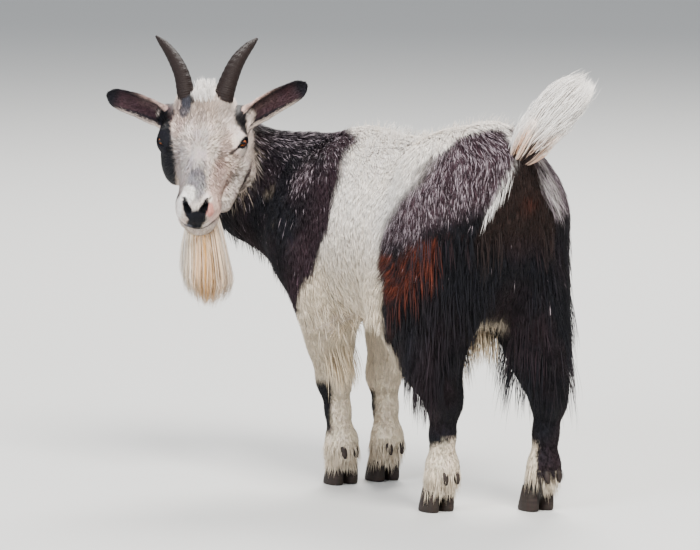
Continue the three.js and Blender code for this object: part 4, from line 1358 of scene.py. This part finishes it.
def makeEyes(material):
    # The slit lies level with the ground, whatever the tilt of the face.
    rows, columns = eyeLook["rows"], eyeLook["columns"]
    for s, side in ((1, "left"), (-1, "right")):
        gaze = unit(np.array(eyeLook["gaze"])) * np.array([1, s, 1]) @ headWays
        across = unit(np.cross((0, 0, 1), gaze))
        up = np.cross(gaze, across)
        points, places, faces = [], [], []
        for i in range(rows + 1):
            polar = np.pi * i / rows
            for j in range(columns if 0 < i < rows else 1):
                turn = 2 * np.pi * j / columns
                a, b, c = np.sin(polar) * np.cos(turn), np.sin(polar) * np.sin(turn), np.cos(polar)
                bulge = 1 + eyeLook["bulge"] * ramp(c, 0.6, 0.9)
                spot = (a * across + b * up + c * gaze) * eyeLook["radius"]
                points.append(spot * eyeLook["ballShare"] * bulge)
                places.append((a, b, c))
        for i in range(rows):
            for j in range(columns):
                k = (j + 1) % columns
                top, low = 1 + (i - 1) * columns, 1 + i * columns
                if i == 0:
                    faces.append((0, low + j, low + k))
                elif i == rows - 1:
                    faces.append((top + j, len(points) - 1, top + k))
                else:
                    faces.append((top + j, low + j, low + k, top + k))
        centre = onHead(*(np.array(eyeLook["centre"]) * np.array([1, s, 1])))
        piece = pieceFrom(f"eye{side.capitalize()}", np.array(points) + centre, faces)
        addVectors(piece, "eyePlace", places)
        piece.data.materials.append(material)
        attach(piece, "root")
        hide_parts(f"eye_{side}")


makeHorns(makeHornMaterial())
makeEyes(makeEyeMaterial())


# Claws: a pointed sole, raised through rings that draw in towards the coronet, and the dewclaws behind
clawLook = {"half": 10.5, "tip": -25, "heel": 19.5, "height": 31, "around": 44, "apart": 1.0, "toeOut": 3,
            "levels": (0, 0.5, 2.5, 7, 13, 19, 25, 31),
            "swell": (0.90, 0.96, 1.0, 1.0, 0.985, 0.97, 0.955, 0.93),
            "tuck": 5, "slope": 0.16, "dewBack": 19, "dewHeight": 49, "dewOut": 9.5,
            "dewAround": 14, "dewHalf": (4.6, 5.6, 4.2, 1.6)}


def clawRing(level, swell, s, toe):
    angle = np.linspace(0, 2 * np.pi, clawLook["around"], endpoint=False)
    across, along = np.cos(angle), np.sin(angle)
    front = along < 0
    inner = across * s < 0
    x = np.sign(across) * np.abs(across) ** np.where(front, 1.12, 0.85) * clawLook["half"]
    x = x * np.where(inner, 0.93, 1)
    x = x * (1 - 0.14 * np.where(front, along ** 2, 0)) + np.where(front, s * -1.6 * along ** 2, 0)
    y = np.where(front, -clawLook["tip"] * along, clawLook["heel"] * np.sign(along) * np.abs(along) ** 0.9)
    rise = level / clawLook["height"]
    bulb = 1 + 0.05 * np.clip(along, 0, 1) * np.sin(np.pi * np.clip(rise * 1.3, 0, 1))
    x = x * swell * (1 - 0.10 * rise)
    y = y * swell * (1 - 0.20 * rise) * bulb + 6 * rise
    turn = np.radians(-s * clawLook["toeOut"])
    x, y = x * np.cos(turn) - y * np.sin(turn), x * np.sin(turn) + y * np.cos(turn)
    top = clawLook["height"] - 4 - clawLook["slope"] * y + clawLook["tuck"]
    z = level / clawLook["height"] * top
    return np.stack([toe[0] + s * (clawLook["half"] + clawLook["apart"]) + x, toe[1] + y, z], 1)


def dewRing(t, angle):
    size = np.interp(t, (0, 0.4, 0.8, 1), clawLook["dewHalf"])
    return np.cos(angle) * size, np.sin(angle) * size * 0.9


def makeClaws(material):
    dewPoints, dewFaces, start = [], [], 0
    for name, leg in legs.items():
        fetlock = np.array(leg["joints"][3], dtype=float)
        inward = -np.sign(leg["toe"][0])
        node = name.replace("Left", "_left").replace("Right", "_right")
        for s, which in ((inward, "inner"), (-inward, "outer")):
            rings = [clawRing(level, swell, s, leg["toe"])
                     for level, swell in zip(clawLook["levels"], clawLook["swell"])]
            piece = pieceFrom(f"{name}Claw{which.capitalize()}", *closedRings(rings))
            piece.data.materials.append(material)
            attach(piece, "root")
            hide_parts(f"{node}_claw_{which}")
            at = np.array((fetlock[0] + s * clawLook["dewOut"], fetlock[1] + clawLook["dewBack"],
                           clawLook["dewHeight"]))
            line = curve([at + (0, -6, 10), at + (0, 1, 2), at + (0, 5, -9)], 9)
            points, faces = tube(line, (1, 0, 0), dewRing, clawLook["dewAround"])
            dewPoints.append(points)
            dewFaces += [tuple(corner + start for corner in face) for face in faces]
            start += len(points)
    dew = pieceFrom("dewclaws", np.vstack(dewPoints), dewFaces)
    dew.data.materials.append(material)
    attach(dew, "root")


makeClaws(makeHoofMaterial())
print("horns, eyes and claws ready")


# The short and middling coat
def lowShare(p):
    return above(-p[:, 2], -225, 60)


def bodyLength(p):
    x, y, z = p.T
    length = np.full(len(p), 19.0)
    length += 6 * above(y, 60, 60) * above(z, 250, 40)
    length += 5 * above(-y, 190, 60)
    length += 6 * above(-z, -290, 60) * above(z, 225, 20)
    low = lowShare(p)
    return length * (1 - low) + low * (9 + 8 * above(z, 150, 70))


def bodyDepth(p):
    low = lowShare(p)
    return 6.2 * (1 - low) + low * (1.5 + 1.2 * above(p[:, 2], 150, 60))


def bodyWidth(p):
    low = lowShare(p)
    return 1.6 * (1 - low) + low * (0.95 + 0.35 * above(p[:, 2], 160, 60))


def faceLength(p):
    u, w, n = toHead(p).T
    return 12.5 - 8.0 * ramp(u, 30, 95) + 4 * ramp(-u, 0, 50) + 4 * ramp(-n, 30, 70)


def faceRise(p):
    return ramp(-toHead(p)[:, 0], 0, 60)


def always(value):
    return lambda p: np.full(len(p), value)


# Lengths in millimetres; clump is how many hairs lean on one leader, and pull how far they lean.
bodyLook = {"length": bodyLength, "depth": bodyDepth, "width": bodyWidth, "rings": 3, "clump": 9, "pull": 0.5,
            "swirl": 0.2, "stray": 0.12, "wander": 0.3}
legLook = dict(bodyLook, rings=2, clump=7, pull=0.3, swirl=0.1, stray=0.08)
faceLook = {"length": faceLength, "depth": lambda p: 1.3 + 1.5 * faceRise(p),
            "width": lambda p: 0.8 + 0.35 * faceRise(p), "rings": 2, "clump": 5, "pull": 0.25,
            "swirl": 0.06, "stray": 0.07, "wander": 0.14, "blur": 0.8, "fleck": 0.45}
earHairLook = dict(faceLook, length=always(7.0), depth=always(1.3), width=always(0.8), pull=0.2)
sx, sy, sz = spots.T
onBody = spotRegion == 0
onNeck = onBody & (sy < -232)
onLegs = onBody & (sz < 232)
onTrunk = onBody & ~onNeck & ~onLegs
hairShare = 1.0


def some(count):
    return int(count * hairShare)


def legTiles(p):
    return (p[:, 0] > 0).astype(int)


def earTiles(p):
    return (toHead(p)[:, 1] > 0).astype(int)


# name: where it grows, how many locks, its look, and the tiles of its unwrap
coats = {
    "coatNeck": (onNeck, 12500, bodyLook, None),
    "coatShoulders": (onTrunk & (sy < -85), 15500, bodyLook, None),
    "coatBarrel": (onTrunk & (sy >= -85) & (sy < 75), 16500, bodyLook, None),
    "coatHaunchLeft": (onTrunk & (sy >= 75) & (sx > 0), 16000, bodyLook, None),
    "coatHaunchRight": (onTrunk & (sy >= 75) & (sx <= 0), 14000, bodyLook, None),
    "coatForelegs": (onLegs & (sy < 0), 30000, legLook, legTiles),
    "coatHindlegs": (onLegs & (sy >= 0), 34000, legLook, legTiles),
    "coatFace": (spotRegion == 1, 42000, faceLook, None),
    "coatEars": (spotRegion >= 2, 13500, earHairLook, earTiles),
}
for name, (mask, count, look, tiles) in coats.items():
    coat(name, mask, some(count), look, tiles)
print("short coat grown")


# Long hair, each lock laid by its own rule
def longHair(name, parts, node=None):
    # Joins sets of locks that share one ring count into one piece.
    keys = ("centres", "ups", "colours", "tips", "width")
    joined = {key: np.concatenate([part[key] for part in parts]) for key in keys}
    tile = np.concatenate([np.full(len(part["width"]), i) for i, part in enumerate(parts)])
    joined["places"] = unwrapped(joined["centres"][:, 0], tile)
    piece = makeLocks(name, joined)
    if node:
        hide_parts(node)


def hanging(mask, count, length, drop, way=None, rings=5, tint=None, width=1.5, lift=0.2, clump=10, pull=0.55,
            stray=0.10, tips=0.0):
    # Locks that leave the skin along the coat's lie, or a way of their own, and then hang.
    count = some(count)
    roots, normals, region = rootsOn(mask, count)
    ways = lieOf(roots, region) if way is None else np.tile(unit(way), (count, 1))
    ways = unit(ways + normals * lift + rng.standard_normal(roots.shape) * stray)
    t = np.linspace(0, 1, rings)[None, :, None]
    sizes = (length * rng.uniform(0.6, 1.1, count))[:, None, None]
    down = np.array([0, 0, -1.0])
    lean = ways[:, None] * (t - drop * t ** 2 / 2) + down * (drop * t ** 2 / 2)
    bend = rng.standard_normal((count, 1, 3)) * 0.05 * t ** 2
    centres = roots[:, None] - normals[:, None] * lockLook["sunk"] + (lean + bend) * sizes
    centres, nearest = clumped(centres, clump, pull)
    if tint is None:
        colours, grizzle, _ = markings(roots)
        tip = (rng.random(count) < grizzle * 0.25 + tips) * rng.uniform(0.3, 1, count)
    else:
        colours = np.tile(np.array(tints[tint]), (count, 1))
        tip = (rng.random(count) < tips) * rng.uniform(0.3, 1, count)
    ups = np.repeat(normals[:, None], rings, axis=1)
    return {"centres": centres, "ups": ups, "colours": shaded(colours, nearest), "tips": tip,
            "width": width * rng.uniform(0.7, 1.2, count)}


def tailEdge(s):
    # A narrow line of skin beside the bare patch under the tail, broader on the right.
    out = np.interp(sz, *zip(*tailLines[s]))
    beside = np.abs(sx * s - out - 14 * (s < 0)) < 4 + 12 * (s < 0)
    return onBody & beside & (sy > 185) & (sz > 420) & (sz < 498)


def within(centre, radius):
    return np.linalg.norm(spots - np.array(centre), axis=1) < radius


nx, ny, nz = spotNormal.T
onHind = onBody & (sy > 40)
onPasterns = onBody & (sz > 32) & (sz < 66)
thighBacks = onHind & (ny > 0.25) & (sz > 215) & (sz < 400) & (np.abs(sx) > 30)
rightThigh = onHind & (sx < -60) & (sz > 185) & (sz < 310)
leftThigh = onHind & (sx > 60) & (ny < 0.1) & (sy < 110) & (sz > 262) & (sz < 330)
insideThigh = onHind & (sx < -20) & (nx > 0.3) & (sz > 195) & (sz < 280)
belly = onBody & (nz < -0.3) & (sz > 200) & (sy > -130) & (sy < 120) & (np.abs(sx) < 100)
chest = onBody & (sy < -200) & (nz < 0.1) & (sz < 400)
throat = onNeck & (spotHead[:, 1] > 0) & (spotHead[:, 0] > -60) & (spotHead[:, 2] < -20)
backLine = onBody & (nz > 0.75) & (sz > 450) & (sy > -150) & (sy < 190)
forelock = (spotRegion == 1) & (spotHead[:, 0] < -42) & (np.abs(spotHead[:, 1]) < 13) & (spotHead[:, 2] > 10)
upFace = tuple(np.array((-0.75, 0, 0.62)) @ headWays)
# Where, how many, length, how much it droops, and its way off the skin.
fringes = [
    # backs and outer edges of the thighs
    hanging(thighBacks, 900, 56, 0.9, (0, 0.1, -1)),
    hanging(rightThigh, 420, 84, 0.9, (-0.03, 0.12, -1), width=1.2, pull=0.65),
    hanging(leftThigh, 220, 34, 0.9, (0.02, -0.1, -1)),
    hanging(within((110, 124, 242), 24), 330, 72, 0.9, (0.03, 0.05, -1), width=1.2, pull=0.65),
    hanging(within((97, 138, 205), 22), 240, 76, 0.9, (0.05, -0.02, -1), width=1.1, pull=0.65),
    hanging(insideThigh, 300, 84, 0.9, (0.08, -0.05, -1), width=1.2, pull=0.65),
    # belly, elbow and the tuft between the hind legs
    hanging(belly, 700, 34, 0.7),
    hanging(within((58, -90, 234), 17), 50, 56, 0.3, (0.82, -0.57, -0.1), tint="face", width=0.9, stray=0.2,
            pull=0.4),
    hanging(within((58, -90, 230), 18), 60, 58, 0.5, (0.55, -0.38, -0.8), tint="cream", width=0.9, stray=0.22,
            pull=0.4),
    hanging(within((0, 96, 235), 44) & (nz < 0), 240, 56, 0.9, (0, 0.3, -1), tint="cream"),
    hanging(within((56, -126, 190), 26), 120, 52, 0.7, (0, 0.35, -0.95), tint="cream"),
    # chest, throat and the ruff
    hanging(chest, 560, 28, 0.75),
    hanging(throat, 320, 28, 0.7),
    # white locks beside the root of the tail
    hanging(tailEdge(1), 110, 46, 0.6, (0.42, -0.06, -0.75), tint="white", width=0.7, pull=0.5, lift=0.3),
    hanging(tailEdge(-1), 220, 46, 0.6, (-0.32, 0.1, -0.7), width=0.9, pull=0.45, lift=0.4, tips=0.25),
    # stray hairs along the back
    hanging(backLine, 560, 24, 0.1, (0, 0.8, 0.6), lift=0.8, width=0.8, pull=0.7, clump=14),
    hanging(within((30, -52, 474), 34), 150, 32, 0.1, (0, 0.4, 0.9), tint="white", width=0.9, stray=0.25),
    # the tuft between the horns
    hanging(forelock, 380, 15, 0.0, upFace, tint="white", width=1.0, lift=0.4, pull=0.3, stray=0.25),
]
longHair("coatFringes", fringes)
# the hair of the pasterns falls over the claws
longHair("coatPasterns", [hanging(onPasterns & (sy * end > 0), 1000, 24, 0.6, (0, 0, -1), rings=3, width=1.3,
                                  lift=0.3, pull=0.3) for end in bothSides])

beardLook = {"top": (72, 3, -60), "drops": (0, 30, 64, 98, 134), "lean": 0.05,
             "wide": (21, 25, 29, 33, 36, 40, 42, 36, 14),
             "deep": (16, 19, 20, 19, 17, 15, 12, 9, 4), "locks": 2300, "rings": 5, "width": 2.0}


def makeBeard():
    top = onHead(*beardLook["top"])
    line = curve([top - np.array((0, 0, drop)) + headWays[1] * drop * beardLook["lean"]
                  for drop in beardLook["drops"]], 40)
    across, outward = headWays[1], unit(np.cross(headWays[1], (0, 0, 1)))
    count, rings = some(beardLook["locks"]), beardLook["rings"]
    angle, radius = rng.uniform(0, 2 * np.pi, count), rng.random(count) ** 0.42
    a, b = np.cos(angle) * radius, np.sin(angle) * radius
    start = rng.uniform(0, 0.22, count) * (1 - radius ** 4)
    reach = np.minimum(1, rng.uniform(0.62, 1.04, count) - 0.12 * np.abs(a - 0.15) ** 2)
    t = start[:, None] + (reach - start)[:, None] * np.linspace(0, 1, rings)[None]
    stops = np.linspace(0, 1, len(beardLook["wide"]))
    wide, deep = np.interp(t, stops, beardLook["wide"]), np.interp(t, stops, beardLook["deep"])
    centre = np.stack([np.interp(t, np.linspace(0, 1, len(line)), line[:, i]) for i in range(3)], 2)
    centres = centre + across * (wide * a[:, None])[..., None] + outward * (deep * b[:, None])[..., None]
    centres += rng.standard_normal((count, 1, 3)) * 1.8 * np.linspace(0, 1, rings)[None, :, None] ** 2
    centres += across * (3.5 * np.sin(t * 5 + 2 * a[:, None]) * t)[..., None]
    centres, nearest = clumped(centres, 16, 0.5)
    ups = unit(across * a[:, None, None] + outward * b[:, None, None] * 1.4 + outward * 0.3)
    ups = np.repeat(ups, rings, axis=1)
    colours = np.tile(np.array(tints["white"]) * 0.92, (count, 1))
    paint(colours, "cream", rng.uniform(0, 0.9, count))
    # Fawn down the beard's left side is partly painted shade
    paint(colours, "fawn", above(a, 0.5, 0.3) * rng.uniform(0, 0.6, count))
    # Gold down the middle of the beard is partly painted light shining through it
    paint(colours, "gold", ridge(a - 0.08, 0.6) * rng.uniform(0.45, 1, count))
    hair = {"centres": centres, "ups": ups, "colours": shaded(colours, nearest), "tips": np.zeros(count),
            "width": beardLook["width"] * rng.uniform(0.7, 1.2, count)}
    longHair("beard", [hair], "beard")


tailLook = {"line": [(-2, 184, 460), (-3, 218, 494), (-10, 247, 528), (-24, 276, 562), (-44, 306, 598)],
            "wide": (16, 21, 26, 29, 31, 32, 31, 26, 14), "deep": (15, 19, 24, 28, 31, 34, 35, 29, 15),
            "locks": 3500, "rings": 5, "width": 2.2}


def makeTail():
    line = curve(tailLook["line"], 60)
    along = alongOf(line)
    across = unit(np.cross(unit((1, 0.3, 0)), along))
    up = np.cross(along, across)
    count, rings = some(tailLook["locks"]), tailLook["rings"]
    angle, radius = rng.uniform(0, 2 * np.pi, count), rng.random(count) ** 0.4
    a, b = np.cos(angle) * radius, np.sin(angle) * radius
    start = rng.uniform(0.02, 0.62, count) + 0.05 * (a < -0.2)
    reach = np.minimum(1.0, start + rng.uniform(0.24, 0.5, count))
    share = np.linspace(0, 1, rings)
    t = start[:, None] + (reach - start)[:, None] * share[None]
    stops = np.linspace(0, 1, len(tailLook["wide"]))
    wide, deep = np.interp(t, stops, tailLook["wide"]), np.interp(t, stops, tailLook["deep"])
    leave = np.minimum(1, 0.45 + 0.75 * share[None] ** 0.8)
    places = np.linspace(0, 1, len(line))

    def at(values):
        return np.stack([np.interp(t, places, values[:, i]) for i in range(3)], 2)
    centres = at(line) + at(across) * (wide * a[:, None] * leave)[..., None]
    centres += at(up) * (deep * b[:, None] * leave)[..., None]
    # tips leave the plume as thin wisps
    flare = rng.standard_normal((count, 1, 3)) * rng.choice((1.5, 6.5), (count, 1, 1), p=(0.78, 0.22))
    centres += flare * share[None, :, None] ** 2
    centres, nearest = clumped(centres, 20, 0.6)
    ups = unit(at(across) * a[:, None, None] + at(up) * b[:, None, None])
    colours = np.tile(np.array(tints["white"]), (count, 1))
    root = 1 - ramp(start, 0.05, 0.3)
    paint(colours, "peach", root * above(-a, -0.2, 0.8) * rng.uniform(0.5, 1, count))
    paint(colours, "bare", above(0.2 - start - 0.3 * np.abs(b - 0.5), 0, 0.06) * (a < 0))
    hair = {"centres": centres, "ups": ups, "colours": shaded(colours, nearest, 0.1), "tips": np.zeros(count),
            "width": tailLook["width"] * rng.uniform(0.7, 1.2, count)}
    longHair("tail", [hair], "tail")


makeBeard()
makeTail()
print("long hair laid")


# The stage
floorLook = {"half": 60.0, "colour": (0.60, 0.60, 0.585, 1), "roughness": 0.8}


def makeFloor():
    half = floorLook["half"]
    mesh = bpy.data.meshes.new("floor")
    corner = [(-half, -half, 0), (half, -half, 0), (half, half, 0), (-half, half, 0)]
    mesh.from_pydata(corner, [], [(0, 1, 2, 3)])
    floor = bpy.data.objects.new("floor", mesh)
    bpy.context.scene.collection.objects.link(floor)
    material, tree, shader = nodesOf("paleFloor")
    surface(tree, shader, floorLook["colour"], floorLook["roughness"])
    mesh.materials.append(material)


cameraLook = {"azimuth": 145, "elevation": 7, "distance": 8.0, "target": (-0.10414, -0.19210, 0.28),
              "lens": 292.1, "sensor": 36, "farthest": 400}


def aimed(thing, place, target):
    thing.location = place
    thing.rotation_euler = (Vector(target) - Vector(place)).to_track_quat("-Z", "Y").to_euler()


def makeCamera():
    azimuth, elevation = np.radians(cameraLook["azimuth"]), np.radians(cameraLook["elevation"])
    level = np.cos(elevation)
    back = Vector((np.sin(azimuth) * level, -np.cos(azimuth) * level, np.sin(elevation)))
    camera = bpy.data.objects.new("camera", bpy.data.cameras.new("camera"))
    camera.data.lens = cameraLook["lens"]
    camera.data.sensor_width = cameraLook["sensor"]
    camera.data.clip_end = cameraLook["farthest"]
    target = Vector(cameraLook["target"])
    aimed(camera, target + back * cameraLook["distance"], target)
    bpy.context.scene.collection.objects.link(camera)
    bpy.context.scene.camera = camera


# name: place, size, power, colour
lights = {
    "keyLight": ((1.0, 3.4, 4.6), 2.4, 650, (1.0, 0.965, 0.91)),
    "fillLight": ((5.0, 1.2, 2.6), 3.0, 290, (0.90, 0.94, 1.0)),
    "rimLight": ((-2.6, -2.8, 4.2), 2.2, 460, (1.0, 0.97, 0.93)),
}
worldLook = {"colour": (0.80, 0.84, 0.90, 1), "strength": 0.68}


def makeLights():
    for name, (place, size, power, colour) in lights.items():
        light = bpy.data.lights.new(name, "AREA")
        light.size = size
        light.energy = power
        light.color = colour
        lamp = bpy.data.objects.new(name, light)
        aimed(lamp, place, (0, 0, 0.3))
        bpy.context.scene.collection.objects.link(lamp)
    world = bpy.data.worlds.new("studio")
    world.use_nodes = True
    sky = world.node_tree.nodes["Background"]
    sky.inputs["Color"].default_value = worldLook["colour"]
    sky.inputs["Strength"].default_value = worldLook["strength"]
    bpy.context.scene.world = world


makeFloor()
makeCamera()
makeLights()
print("stage set")
